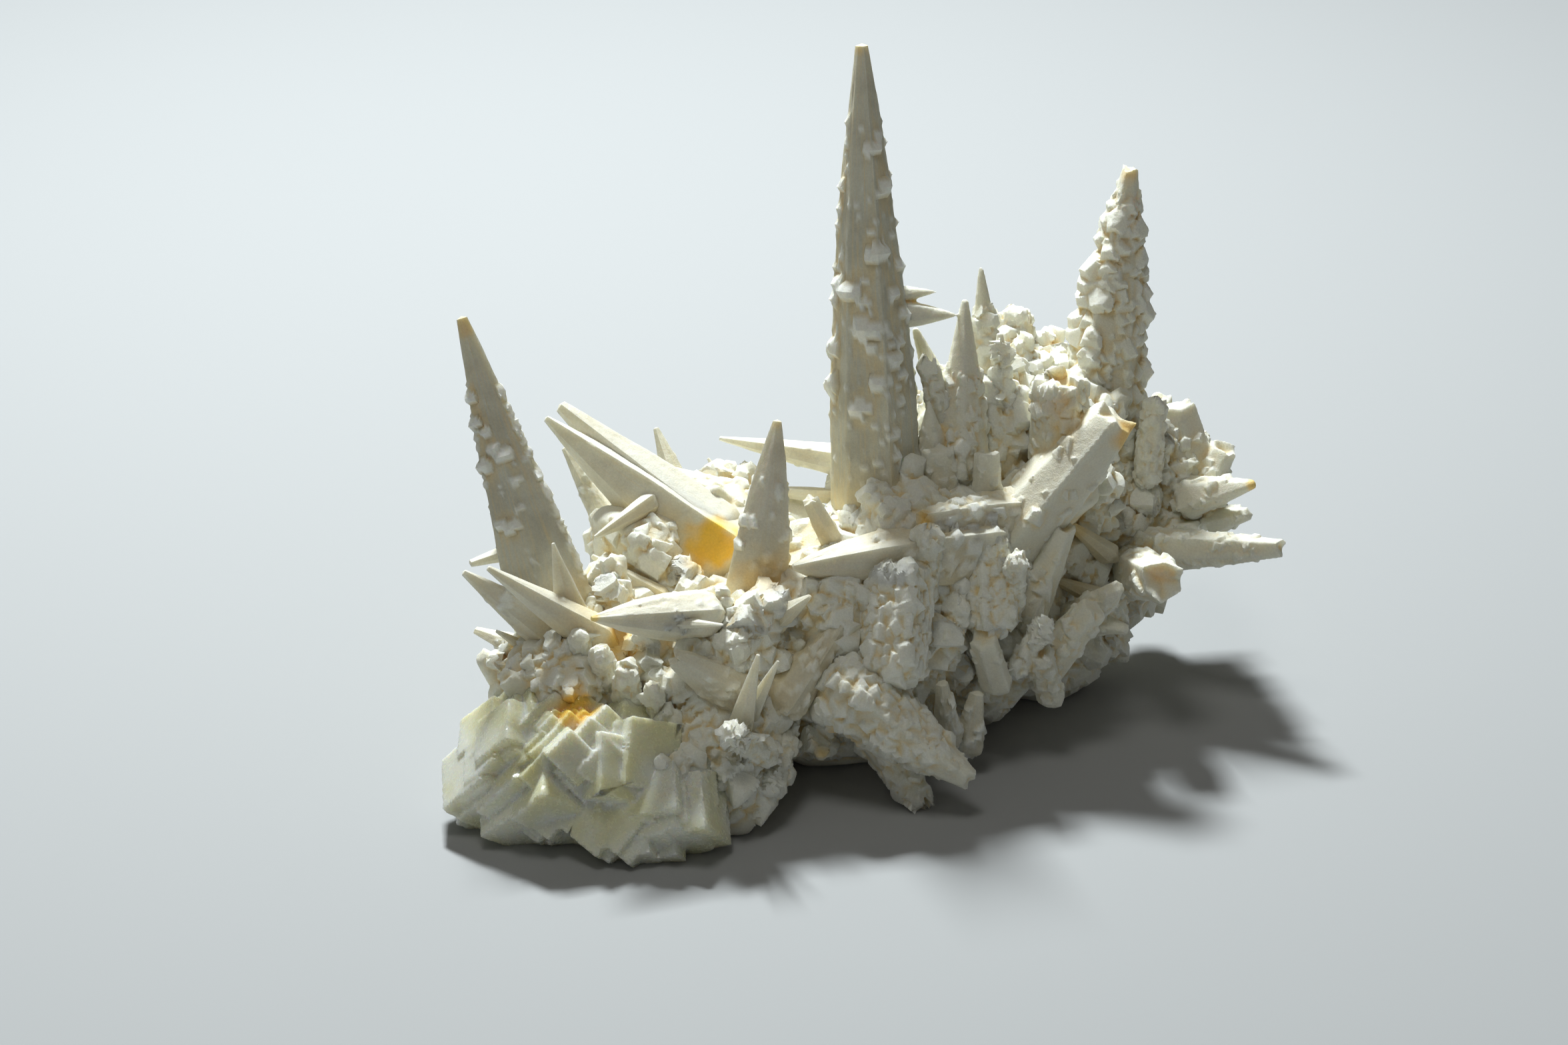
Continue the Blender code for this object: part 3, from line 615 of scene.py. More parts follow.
def dress(thing, crevice, tone, coat, grain):
    """Writes what the finishes read at each point of a mesh."""
    mesh = thing.data
    points, _ = read_mesh(mesh)
    # Written here: the painted shade of the crevices, and the whitening of raised small crystals, which is
    # partly a painted highlight.
    for label, values in (("crevice", crevice), ("tone", tone), ("coat", coat), ("glow", glow_at(points))):
        held = mesh.attributes.new(label, "FLOAT", "POINT")
        held.data.foreach_set("value", values)
    held = mesh.attributes.new("grain", "FLOAT_VECTOR", "POINT")
    held.data.foreach_set("vector", grain.ravel())


def hand_in(thing, material):
    """Gives a finished piece its material and its place in the frame."""
    thing.data.materials.append(material)
    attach(thing, "root")
    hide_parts(CAD_NODE)


def evened(points, edges, rounds, pull):
    """Points drawn to the middle of their neighbours, some rounds over."""
    share = np.bincount(edges.ravel(), minlength=len(points))[:, None]
    for _ in range(rounds):
        middle = np.empty_like(points)
        for axis in range(3):
            middle[:, axis] = np.bincount(
                edges.ravel(), weights=points[edges[:, ::-1].ravel(), axis], minlength=len(points)
            )
        points = points + pull * (middle / share - points)
    return points


def grown_together(name, piles, voxel):
    """Piles as one closed skin: its object, points and edges."""
    thing = joined(piles).raw(name)
    grow = thing.modifiers.new("grow_together", "REMESH")
    grow.mode = "VOXEL"
    grow.voxel_size = voxel * MM
    bpy.ops.object.modifier_apply(modifier=grow.name)
    return thing, *read_mesh(thing.data)


def read_mesh(mesh):
    """The points and edges of a mesh."""
    points = np.empty(len(mesh.vertices) * 3)
    mesh.vertices.foreach_get("co", points)
    edges = np.empty(len(mesh.edges) * 2, dtype=np.int64)
    mesh.edges.foreach_get("vertices", edges)
    return points.reshape(-1, 3), edges.reshape(-1, 2)


def moved(mesh, points):
    """Puts new points into a mesh and returns its normals."""
    mesh.vertices.foreach_set("co", points.ravel())
    mesh.update()
    normals = np.empty(len(mesh.vertices) * 3)
    mesh.vertices.foreach_get("normal", normals)
    return normals.reshape(-1, 3)


def thinned(thing, keep, sharp):
    """Thins out the faces to a share, and shades edges sharper than an angle as creases."""
    thin = thing.modifiers.new("thin_out", "DECIMATE")
    thin.ratio = keep
    bpy.ops.object.modifier_apply(modifier=thin.name)
    bpy.ops.object.shade_smooth_by_angle(angle=math.radians(sharp))


def fused(name, piles, druse, skin, material):
    """Piles grown together into one skin, the small crystals raised out of it, its hollows marked."""
    thing, points, edges = grown_together(name, piles, skin.voxel)
    points = evened(points, edges, skin.rounds, 0.5)
    points, height, tones = druse.raised(points, settled(thing.data, points, edges, 8))
    sunk = hollows(thing.data, points, edges)
    # Painted shade in the hollows, less on the raised small crystals.
    crevice = smooth(sunk, -0.15, 0.5) * (1 - 0.3 * smooth(height, 0.4, 1.2))
    # The coat value whitens the raised small crystals: partly their own paler colour, partly a painted
    # highlight.
    dress(thing, crevice, tones, 0.1 + 0.5 * smooth(height, 0.3, 1.0), points / MM)
    thinned(thing, skin.keep, CRYSTAL_SHARP)
    hand_in(thing, material)


# The broken faces and thin tips that let light through.
GLOWS = [
    Glow((-17, -5, 12), 9.0, 1.0),
    Glow((83, 21, 8), 6.0, 0.7),
    Glow((91, -13, 6), 5.0, 0.7),
    Glow((83, 84, -20), 3.4, 0.4),
    Glow((-77, 47.5, 22), 4.0, 0.3),
    Glow((18.7, 113.6, 22), 2.6, 0.3),
    Glow((-1.6, 24, 22), 3.0, 0.25),
    Glow((33.5, 0.5, 20), 3.2, 0.7),
    Glow((112.8, 9.2, -18), 2.4, 0.7),
    Glow((-46.2, -23, 46), 2.2, 0.7),
    Glow((-36, -28, 24), 9.0, 0.7),
    Glow((-50, -47, 34), 8.0, 0.9),
    Glow((-5, -15, 22), 10.0, 0.4),
    Glow((66, 26, 10), 7.0, 0.25),
    Glow((12, -55, 20), 7.0, 0.7),
    Glow((68, -2, -6), 8.0, 0.3),
    Glow((60, 12, -12), 8.0, 0.3),
]


def glow_at(points):
    """How much honey-coloured light each point lets through, from 0 to 1."""
    total = np.zeros(len(points))
    wander = 0.3 * cloud(points / (2.5 * MM), 77)
    for glow in GLOWS:
        away = np.linalg.norm(points - place(*glow.middle), axis=1) / (glow.radius * MM)
        total = np.maximum(total, glow.strength * (1 - smooth(away + wander, 0.45, 1.0)))
    return total


def lump_nearness(points):
    """How deep points are in the mass: above 1 is outside every lump, 0 is the middle of one."""
    nearest = np.full(len(points), 9.0)
    for lump in LUMPS:
        off = (points - place(*lump.middle)) / (np.array(lump.size) * MM)
        nearest = np.minimum(nearest, np.linalg.norm(off, axis=1))
    return nearest


def profile(along, crystal):
    """The half-width at a share of the way from tip (0) to foot (1), in millimetres."""
    return crystal.blunt + (crystal.width - crystal.blunt) * (1 - (1 - along) ** crystal.belly)


SIDES = 6
DRAWN_IN = 0.84
STEP_LENGTH = 3.2
STEP_HEIGHT = 0.32
STRIATION = 0.09


def unit(vector):
    return vector / np.linalg.norm(vector)


def heading_way(heading):
    """A direction given as right, up and toward, as a unit vector in space."""
    return unit(place(*heading) - place(0, 0, 0))


def crystal_frame(crystal):
    """Where a crystal stands: its foot, its length in millimetres, and the ways front, side and axis."""
    foot = place(*crystal.foot)
    axis = place(*crystal.tip) - foot
    length = np.linalg.norm(axis) / MM
    axis = unit(axis)
    side = unit(np.cross(axis, EYE_WAY))
    return foot, length, np.stack([np.cross(side, axis), side, axis])


def crystal_points(form, crystal, seed):
    """The form drawn to a crystal's length and width, with flat faces, growth steps and fine ridges."""
    dice = random.Random(seed)
    foot, length, ways = crystal_frame(crystal)
    along = 1 - form.points[:, 2]
    rim = np.hypot(form.points[:, 0], form.points[:, 1])
    angle = np.arctan2(form.points[:, 1], form.points[:, 0]) % math.tau
    turn = angle / math.tau * SIDES
    corner = np.floor(turn + 1e-6).astype(int) % SIDES
    share = turn - np.floor(turn + 1e-6)
    reach = np.array([(1.0 if i % 2 == 0 else DRAWN_IN) * dice.uniform(0.94, 1.04) for i in range(SIDES)])
    bend = np.array([dice.uniform(-8, 8) for _ in range(SIDES)])
    corners = np.radians(np.arange(SIDES) * 360 / SIDES + bend + crystal.facing)
    drift = np.stack([along * length / 14, np.zeros_like(along), np.full_like(along, seed * 3.7)], axis=1)
    ends = []
    for side in (corner, (corner + 1) % SIDES):
        drift[:, 1] = side * 5.3
        wander = 1 + 0.05 * cloud(drift, seed)
        way = np.stack([np.cos(corners[side]), np.sin(corners[side])], axis=1)
        ends.append(way * (reach[side] * wander)[:, None])
    flat = ends[0] * (1 - share)[:, None] + ends[1] * share[:, None]
    flat[:, 0] *= crystal.deep
    step = along * length / STEP_LENGTH + np.array([dice.uniform(0, 9) for _ in range(SIDES)])[corner]
    place_on = np.stack([share * 3 + corner * 7, along * length / 5, np.zeros_like(along)], axis=1)
    step += 0.8 * cloud(place_on, seed + 1)
    saw = 0.5 - (step - np.floor(step))
    arc = turn / SIDES * math.tau * crystal.width
    ridges = cloud(np.stack([arc / 0.55, along * length / 16, np.zeros_like(arc)], axis=1), seed + 2)
    hills = rough(np.stack([arc / 2.6, along * length / 4.2, np.zeros_like(arc)], axis=1), 3, seed + 3)
    size = profile(along, crystal) * (1 - 0.7 * smooth(along, 0.84, 1.0))
    taper = np.minimum(1, size / 4)
    size = size + taper * (crystal.steps * STEP_HEIGHT * saw + STRIATION * ridges + 0.12 * hills)
    local = np.empty_like(form.points)
    local[:, :2] = flat * (size * rim)[:, None]
    local[:, 2] = (1 - along) * length
    middle = (rim < 0.5) & (along < 0.5)
    local[middle, 2] += 0.35 * crystal.blunt if crystal.blunt < 2 else -0.25 * crystal.blunt
    if crystal.blunt >= 2:
        top = along < 1e-4
        rim_spots = np.stack([angle * 1.7, np.zeros_like(angle), np.full_like(angle, seed)], axis=1)
        ragged = cloud(rim_spots, seed)
        local[top, 2] += (0.35 * crystal.blunt * ragged - 0.2 * local[:, 0])[top]
    points = foot + (local * MM) @ ways
    outward = np.stack([flat[:, 0], flat[:, 1], np.zeros_like(angle)], axis=1)
    outward = outward / np.maximum(1e-6, np.linalg.norm(outward, axis=1))[:, None] @ ways
    grain = np.stack([arc / 0.9, along * length / 22, np.full_like(arc, seed * 2.3)], axis=1)
    return points, outward, along, grain


def lay(spot, normal, heading, size, sink, spin, lift, wide=1.0):
    """The matrix that lays a small form on a face, growing along the heading, its tip lifted off it."""
    flat = unit(heading - normal * float(heading @ normal) + 1e-9)
    across = np.cross(flat, normal)
    turned = flat * math.cos(spin) + across * math.sin(spin)
    across = np.cross(turned, normal)
    raised = turned * math.cos(lift) + normal * math.sin(lift)
    back = np.cross(across, raised)
    matrix = np.eye(4)
    matrix[:3, 0] = across * size * wide * MM
    matrix[:3, 1] = raised * size * MM
    matrix[:3, 2] = back * size * MM
    matrix[:3, 3] = spot - normal * sink * size * MM
    return matrix


class Growing:
    """A large crystal as it stands, with what small crystals need to grow on it."""

    def __init__(self, number, form):
        self.crystal = CRYSTALS[number]
        self.points, self.outward, self.along, self.grain = crystal_points(form, self.crystal, number + 1)
        self.axis = unit(place(*self.crystal.tip) - place(*self.crystal.foot))
        self.sides = np.flatnonzero((self.along > 0.01) & (self.along < 0.99))
        self.reading = read_back(self.points[self.sides])
        self.ahead = self.outward[self.sides] @ EYE_WAY

    def seen_spot(self, height, across):
        """The point of the front that is at a height on the plane and at a share of the way across."""
        level = np.abs(self.reading[:, 1] - height) < 1.2
        row = self.reading[level, 0]
        aim = row.min() + (across + 1) / 2 * (row.max() - row.min())
        off = np.abs(self.reading[:, 0] - aim) + 2 * np.abs(self.reading[:, 1] - height)
        return self.sides[np.argmin(off + 9 * (self.ahead < -0.15))]


def bumps_on(growing, forms, pile, dice):
    """The listed small crystals of a spire, like shelves that stand out from its faces."""
    number = CRYSTALS.index(growing.crystal)
    for bump in SEEN_BUMPS.get(number, []):
        at = growing.seen_spot(bump.height, bump.across)
        for part in range(2 if bump.size > 3.2 else 1):
            lift = math.radians(dice.uniform(-5, 18))
            spin = math.radians(dice.uniform(-25, 25))
            shift = growing.axis * dice.uniform(-0.4, 0.4) * part * bump.size * MM
            matrix = lay(
                growing.points[at] + shift, growing.outward[at], growing.axis,
                bump.size * (0.8 if part == 0 else 0.5), -0.16, spin, lift, dice.uniform(1.1, 1.6),
            )
            pile.add_copy(dice.choice(forms), matrix, 0.2, dice.uniform(0.6, 1), dice)


def fringe_on(growing, fringe, forms, pile, dice):
    """A serrated row of tiny crystals down one edge of a spire."""
    for _ in range(fringe.count):
        height = dice.uniform(fringe.bottom, fringe.top)
        at = growing.seen_spot(height, fringe.across + dice.uniform(-0.05, 0.05))
        lift = math.radians(dice.uniform(30, 70))
        size = dice.uniform(0.9, 2.0)
        matrix = lay(
            growing.points[at], growing.outward[at], growing.axis, size, 0.0, dice.uniform(-0.5, 0.5), lift
        )
        pile.add_copy(dice.choice(forms), matrix, 0.2, dice.uniform(0.6, 1), dice)


def coat_on(growing, coat, forms, pile, dice):
    """Small crystals over a large one, all growing along it."""
    within = growing.sides[
        (growing.along[growing.sides] > coat.start) & (growing.along[growing.sides] < coat.end)
    ]
    for _ in range(coat.count * (2 if growing.crystal.piece == "mass_columns" else 1)):
        at = within[int(dice.random() ** 0.8 * len(within)) % len(within)]
        size = coat.small + (coat.large - coat.small) * dice.random() ** 1.6
        lift = math.radians(coat.lift * dice.uniform(0.4, 1.3))
        matrix = lay(
            growing.points[at], growing.outward[at], growing.axis, size, 0.08,
            dice.gauss(0, 0.3), lift, dice.uniform(0.75, 1.3),
        )
        pile.add_copy(dice.choice(forms), matrix, 0.5, dice.uniform(0, 1), dice)


# The pieces whose crystals are fused into one skin.
SPIRE_SKIN = Skin(voxel=0.45, rounds=2, keep=0.9)
CLUSTER_SKIN = Skin(voxel=0.45, rounds=2, keep=0.7)
FUSED_CRYSTALS = {
    "right_spire": SPIRE_SKIN,
    "fallen_spire": SPIRE_SKIN,
    "right_crystals": CLUSTER_SKIN,
    "mass_columns": CLUSTER_SKIN,
}
MASS_SKIN = Skin(voxel=0.5, rounds=3, keep=0.3)
MATRIX_SKIN = Skin(voxel=0.6, rounds=8, keep=0.8)
# The angles, in degrees, from which edges stay crisp.
FACE_SHARP = 35
CRYSTAL_SHARP = 34
CLEAVAGE_SHARP = 28

# The kinds of small crystal.
SHINGLED = "shingles"
LEDGED = "ledges"
FLAKED = "flakes"
TOOTHED = "teeth"
CHUNKS = "chunks"
SHELVES = "shelves"
BLOCKS = "blocks"

# How many columns of faces a crystal has around it and how far apart its rings are, in millimetres: the
# finest ones by their place in the list, those that are fused, and all others.
LATTICES = {0: (140, 0.48), 1: (108, 0.5), 12: (72, 0.5), 14: (96, 0.5), 15: (84, 0.5), 37: (72, 0.5)}
FUSED_LATTICE = (24, 0.8)
OTHER_LATTICE = (48, 0.7)
FEWEST_RINGS = 12

# The coats of the large crystals, by their place in the list. Those of the mass's columns are doubled.
SPIRE_COATS = {
    0: [Coat(230, 0.9, 2.6, 0.25, 0.97, FLAKED, 4), Coat(110, 1.2, 2.8, 0.12, 0.92, SHELVES, 10)],
    1: [Coat(60, 0.8, 2.2, 0.25, 0.95, FLAKED, 5), Coat(24, 1.0, 1.8, 0.2, 0.9, SHELVES, 10)],
    2: [Coat(420, 1.8, 4.4, 0.1, 0.97, LEDGED, 3), Coat(160, 1.2, 2.6, 0.05, 0.95, SHINGLED, 8)],
    3: [Coat(23, 0.6, 1.6, 0.4, 0.9, FLAKED, 5)],
    4: [Coat(17, 0.6, 1.6, 0.4, 0.9, FLAKED, 5)],
    5: [Coat(51, 0.8, 2.4, 0.15, 0.9, FLAKED, 8)],
    8: [Coat(27, 0.8, 1.9, 0.4, 0.9, FLAKED, 12)],
    10: [Coat(27, 0.8, 1.9, 0.4, 0.9, FLAKED, 8)],
    12: [Coat(90, 1.6, 4.2, 0.25, 0.97, FLAKED, 3)],
    13: [Coat(17, 1.0, 2.4, 0.3, 0.9, FLAKED, 5)],
    14: [Coat(150, 2.0, 4.6, 0.35, 1.0, SHINGLED, 8)],
    15: [Coat(190, 1.8, 4.0, 0.1, 1.0, SHINGLED, 8)],
    16: [Coat(204, 1.5, 4.0, 0.35, 1.0, SHINGLED, 10)],
    17: [Coat(221, 1.5, 4.0, 0.22, 1.0, SHINGLED, 10)],
    18: [Coat(34, 1.0, 2.7, 0.3, 0.9, SHINGLED, 10)],
    22: [Coat(27, 1.0, 2.4, 0.4, 0.9, FLAKED, 8)],
    23: [Coat(102, 1.8, 4.8, 0.0, 0.35, SHINGLED, 8), Coat(68, 1.2, 3.2, 0.4, 0.95, FLAKED, 4)],
    24: [Coat(85, 1.4, 4.0, 0.1, 0.95, FLAKED, 5)],
    25: [Coat(85, 1.5, 4.0, 0.25, 1.0, SHINGLED, 9)],
    26: [Coat(102, 1.5, 4.0, 0.2, 1.0, SHINGLED, 9)],
    27: [Coat(51, 1.2, 3.2, 0.3, 1.0, SHINGLED, 9)],
    28: [Coat(136, 1.2, 3.2, 0.15, 1.0, SHINGLED, 8)],
    29: [Coat(40, 0.9, 2.7, 0.1, 1.0, SHINGLED, 10)],
    30: [Coat(68, 1.5, 4.0, 0.15, 1.0, SHINGLED, 6)],
    31: [Coat(300, 1.8, 4.2, 0.22, 1.0, LEDGED, 4), Coat(120, 1.0, 2.2, 0.06, 0.6, FLAKED, 3)],
    32: [Coat(110, 1.6, 4.0, 0.0, 1.0, LEDGED, 5)],
    33: [Coat(68, 1.0, 2.9, 0.2, 1.0, FLAKED, 8)],
    34: [Coat(27, 0.8, 1.9, 0.5, 1.0, FLAKED, 8)],
    37: [Coat(68, 0.9, 2.6, 0.5, 1.0, FLAKED, 6), Coat(20, 0.6, 1.3, 0.3, 0.8, TOOTHED, 60)],
    42: [Coat(85, 1.2, 3.7, 0.1, 1.0, SHINGLED, 10)],
    43: [Coat(68, 1.2, 3.2, 0.3, 1.0, SHINGLED, 8)],
    46: [Coat(34, 1.2, 3.2, 0.2, 1.0, SHINGLED, 9)],
    47: [Coat(34, 1.2, 3.2, 0.2, 1.0, SHINGLED, 9)],
    49: [Coat(85, 1.2, 3.7, 0.2, 1.0, SHINGLED, 10)],
    50: [Coat(85, 1.2, 3.7, 0.2, 1.0, SHINGLED, 10)],
    51: [Coat(85, 1.2, 3.7, 0.2, 1.0, SHINGLED, 10)],
    52: [Coat(85, 1.2, 3.7, 0.2, 1.0, SHINGLED, 10)],
    53: [Coat(85, 1.2, 3.7, 0.2, 1.0, SHINGLED, 10)],
    54: [Coat(85, 1.2, 3.7, 0.2, 1.0, SHINGLED, 10)],
    55: [Coat(221, 2.2, 5.2, 0.02, 0.95, SHINGLED, 16)],
    56: [Coat(204, 1.8, 3.8, 0.02, 0.95, SHINGLED, 14)],
    57: [Coat(13, 1.0, 2.4, 0.1, 0.8, FLAKED, 6)],
    59: [Coat(44, 1.4, 3.5, 0.05, 0.9, SHINGLED, 8)],
    60: [Coat(17, 1.4, 3.2, 0.2, 0.9, FLAKED, 8)],
    61: [Coat(34, 1.4, 2.9, 0.05, 0.8, SHINGLED, 10)],
    63: [Coat(34, 1.4, 3.5, 0.2, 0.9, FLAKED, 6)],
    64: [Coat(40, 1.4, 3.5, 0.1, 0.9, SHINGLED, 8)],
    65: [Coat(85, 1.5, 3.2, 0.0, 0.95, SHINGLED, 16)],
    66: [Coat(102, 1.5, 4.0, 0.0, 0.7, SHINGLED, 10)],
    67: [Coat(40, 1.0, 2.7, 0.1, 0.9, FLAKED, 6)],
    68: [Coat(40, 1.0, 2.7, 0.1, 0.9, FLAKED, 6)],
    69: [Coat(40, 1.0, 2.7, 0.1, 0.9, FLAKED, 6)],
    79: [Coat(68, 1.5, 3.5, 0.0, 0.95, SHINGLED, 16)],
    80: [Coat(13, 1.0, 2.4, 0.0, 0.9, FLAKED, 5)],
    81: [Coat(13, 1.0, 2.4, 0.0, 0.9, FLAKED, 5)],
    82: [Coat(51, 1.5, 3.5, 0.0, 0.95, SHINGLED, 14)],
    83: [Coat(102, 1.5, 4.0, 0.1, 0.95, SHINGLED, 14)],
}
# The coat of a column of the mass that has none in the list.
COLUMN_COATS = [Coat(70, 1.2, 3.4, 0.0, 0.98, SHINGLED, 7)]

ZONES = [
    Zone((-66, -20, 20), (-0.5, 0.6, 0.5), 0.5, 0.8, CHUNKS),
    Zone((-50, -30, 26), (-0.2, 0.8, 0.4), 0.6, 1.0, CHUNKS),
    Zone((-60, -45, 24), (-0.3, 0.7, 0.5), 0.5, 0.8, CHUNKS),
    Zone((-35, -42, 32), (0.1, 0.8, 0.5), 0.8, 0.9, CHUNKS),
    Zone((-22, -38, 34), (-0.5, -0.6, 0.3), 0.9, 1.0, SHINGLED),
    Zone((-10, -55, 32), (-0.5, -0.7, 0.3), 1.0, 1.0, SHINGLED),
    Zone((-5, -26, 30), (0.5, 0.6, 0.3), 0.6, 1.2, CHUNKS),
    Zone((25, -24, 20), (-0.9, 0.3, 0.2), 1.0, 1.1, SHINGLED),
    Zone((45, -8, 16), (-0.8, 0.5, 0.3), 1.0, 0.9, SHINGLED),
    Zone((48, -22, 10), (0.0, 0.8, 0.3), 0.9, 1.1, CHUNKS),
    Zone((40, -40, 10), (0.2, 0.8, 0.4), 0.9, 1.0, CHUNKS),
    Zone((62, -35, -2), (0.5, 0.6, 0.4), 0.8, 1.1, SHINGLED),
    Zone((75, -22, -6), (-0.7, 0.5, 0.3), 0.8, 1.2, SHINGLED),
    Zone((60, 10, -4), (0.3, 0.9, 0.2), 0.5, 1.3, CHUNKS),
    Zone((86, 10, -16), (0.3, 0.9, 0.2), 1.0, 0.9, CHUNKS),
    Zone((98, 0, -28), (0.8, 0.4, 0.2), 0.8, 1.0, SHINGLED),
    Zone((45, 18, -4), (0.0, 1.0, 0.2), 1.0, 1.1, SHINGLED),
    Zone((28, 8, 6), (-0.3, 0.9, 0.2), 0.6, 1.2, SHINGLED),
    Zone((-10, 6, 4), (-0.8, 0.6, 0.2), 0.25, 1.3, FLAKED),
    Zone((-35, 4, 6), (-0.8, 0.6, 0.2), 0.25, 1.3, FLAKED),
    Zone((-20, -12, 14), (-0.6, 0.8, 0.1), 0.35, 1.2, FLAKED),
    Zone((10, -40, 24), (0.8, -0.5, 0.3), 0.9, 1.1, SHINGLED),
    Zone((62, 36, -20), (0.1, 1.0, 0.0), 0.9, 1.0, CHUNKS),
    Zone((72, 20, -26), (0.1, 1.0, 0.0), 1.0, 1.0, SHINGLED),
    Zone((-40, -20, -20), (-0.3, 0.8, -0.4), 0.9, 1.1, SHINGLED),
    Zone((-5, -20, -50), (0.0, 0.7, -0.6), 0.9, 1.0, SHINGLED),
    Zone((30, -10, -62), (0.2, 0.8, -0.5), 0.9, 1.1, CHUNKS),
    Zone((60, 10, -62), (0.2, 0.9, -0.3), 0.9, 1.0, SHINGLED),
    Zone((88, -10, -50), (0.7, 0.5, -0.4), 0.9, 1.0, CHUNKS),
    Zone((-20, 0, -30), (-0.5, 0.8, -0.2), 0.7, 1.2, CHUNKS),
    Zone((50, -35, -45), (0.4, 0.4, -0.6), 0.9, 1.0, SHINGLED),
]


def small_forms():
    """The faces of the small crystals, and the cleavage blocks, modelled once each."""
    return {
        SHINGLED: [
            facets(
                (0.45, 0.2, 0.85, 0.30), (-0.4, 0.15, 0.9, 0.30), (0.95, 0.1, 0.3, 0.36),
                (-0.95, 0.05, 0.35, 0.36), (0.55, 0.8, 0.2, 0.46), (-0.6, 0.75, 0.25, 0.44),
                (0, -0.75, 0.65, 0.42),
            ),
            facets(
                (0.15, 0.25, 0.95, 0.26), (-0.75, 0.1, 0.65, 0.33), (0.95, -0.1, 0.2, 0.36),
                (0.3, 0.93, 0.2, 0.44), (-0.7, 0.7, 0.15, 0.42), (0.1, -0.6, 0.78, 0.36),
            ),
            facets(
                (-0.1, 0.05, 1, 0.2), (0.85, 0.35, 0.35, 0.36), (-0.9, 0.3, 0.3, 0.38),
                (0.1, 0.95, 0.3, 0.46), (0.2, -0.9, 0.4, 0.46), (-0.5, -0.7, 0.5, 0.42),
            ),
            facets(
                (0.5, 0.3, 0.8, 0.28), (-0.5, 0.3, 0.8, 0.28), (0.85, 0.4, -0.1, 0.3),
                (-0.85, 0.4, -0.1, 0.3), (0, -0.6, 0.8, 0.4),
            ),
        ],
        LEDGED: [
            facets(
                (0.1, 0.65, 0.75, 0.34), (0.15, -0.1, 0.98, 0.30), (0.9, 0.3, 0.3, 0.62),
                (-0.9, 0.25, 0.35, 0.6), (0, -0.85, 0.5, 0.42),
            ),
            facets(
                (-0.25, 0.6, 0.75, 0.34), (-0.1, -0.15, 0.98, 0.26), (0.85, 0.45, 0.25, 0.55),
                (-0.95, 0.1, 0.3, 0.58), (0.2, -0.8, 0.55, 0.4),
            ),
            facets(
                (0.35, 0.5, 0.8, 0.36), (-0.4, 0.4, 0.83, 0.34), (0.8, 0.1, 0.6, 0.5),
                (-0.85, 0, 0.5, 0.5), (0, -0.8, 0.6, 0.4),
            ),
        ],
        FLAKED: [
            facets(
                (0.05, 0.1, 0.99, 0.22), (0.9, 0.2, 0.4, 0.34), (-0.9, 0.1, 0.4, 0.36),
                (0.2, 0.9, 0.4, 0.46), (-0.5, 0.8, 0.35, 0.42), (0.1, -0.9, 0.4, 0.46),
            ),
            facets(
                (0.2, -0.05, 0.97, 0.21), (-0.3, 0, 0.95, 0.22), (0.85, 0.5, 0.3, 0.36),
                (-0.95, 0.2, 0.3, 0.32), (0, -0.85, 0.5, 0.44), (-0.2, 0.95, 0.3, 0.46),
            ),
        ],
        TOOTHED: [
            tooth(6, 0.4, 0.26),
            tooth(4, 0.5, 0.3),
        ],
        CHUNKS: [
            facets(
                (0.8, 0.15, 0.58, 0.36), (-0.6, 0.5, 0.62, 0.36), (-0.2, -0.8, 0.57, 0.36),
                (0.3, 0.9, 0.1, 0.5),
            ),
            facets(
                (0.3, 0.5, 0.8, 0.36), (-0.8, 0.1, 0.6, 0.36), (0.6, -0.6, 0.53, 0.36),
                (0.9, 0.3, 0.1, 0.45), (-0.3, 0.9, 0.2, 0.5), (-0.3, -0.9, 0.3, 0.46),
            ),
            facets(
                (0.1, 0.75, 0.65, 0.38), (0.75, -0.35, 0.56, 0.36), (-0.7, -0.4, 0.6, 0.36),
                (0.9, 0.4, 0.1, 0.46), (-0.9, 0.35, 0.1, 0.46),
            ),
        ],
        SHELVES: [
            facets(
                (0.35, 0.7, 0.62, 0.40), (-0.35, 0.75, 0.57, 0.40), (0.3, -0.25, 0.92, 0.34),
                (-0.25, -0.3, 0.92, 0.34), (0.9, 0, 0.35, 0.5), (-0.9, 0, 0.35, 0.5),
                (0, -0.95, 0.25, 0.42),
            ),
            facets(
                (0.1, 0.85, 0.52, 0.38), (0.5, -0.1, 0.86, 0.34), (-0.5, -0.15, 0.85, 0.34),
                (0.85, 0.1, 0.4, 0.5), (-0.9, 0.2, 0.3, 0.46), (0.1, -0.9, 0.3, 0.4),
            ),
        ],
        BLOCKS: [
            rhomb_form(0.25, 0.2, 0.09),
            rhomb_form(-0.2, 0.35, 0.08),
            plate_form(6, 0.9, [(0.4, 1), (0.62, 0.85), (0.75, 0.5)], 0.1, 0.15),
            plate_form(5, 1.0, [(0.35, 1), (0.6, 0.85), (0.7, 0.5)], 0.2, -0.1),
            plate_form(4, 0.9, [(0.45, 1), (0.65, 0.85), (0.75, 0.55)], 0.15, 0.2),
        ],
    }


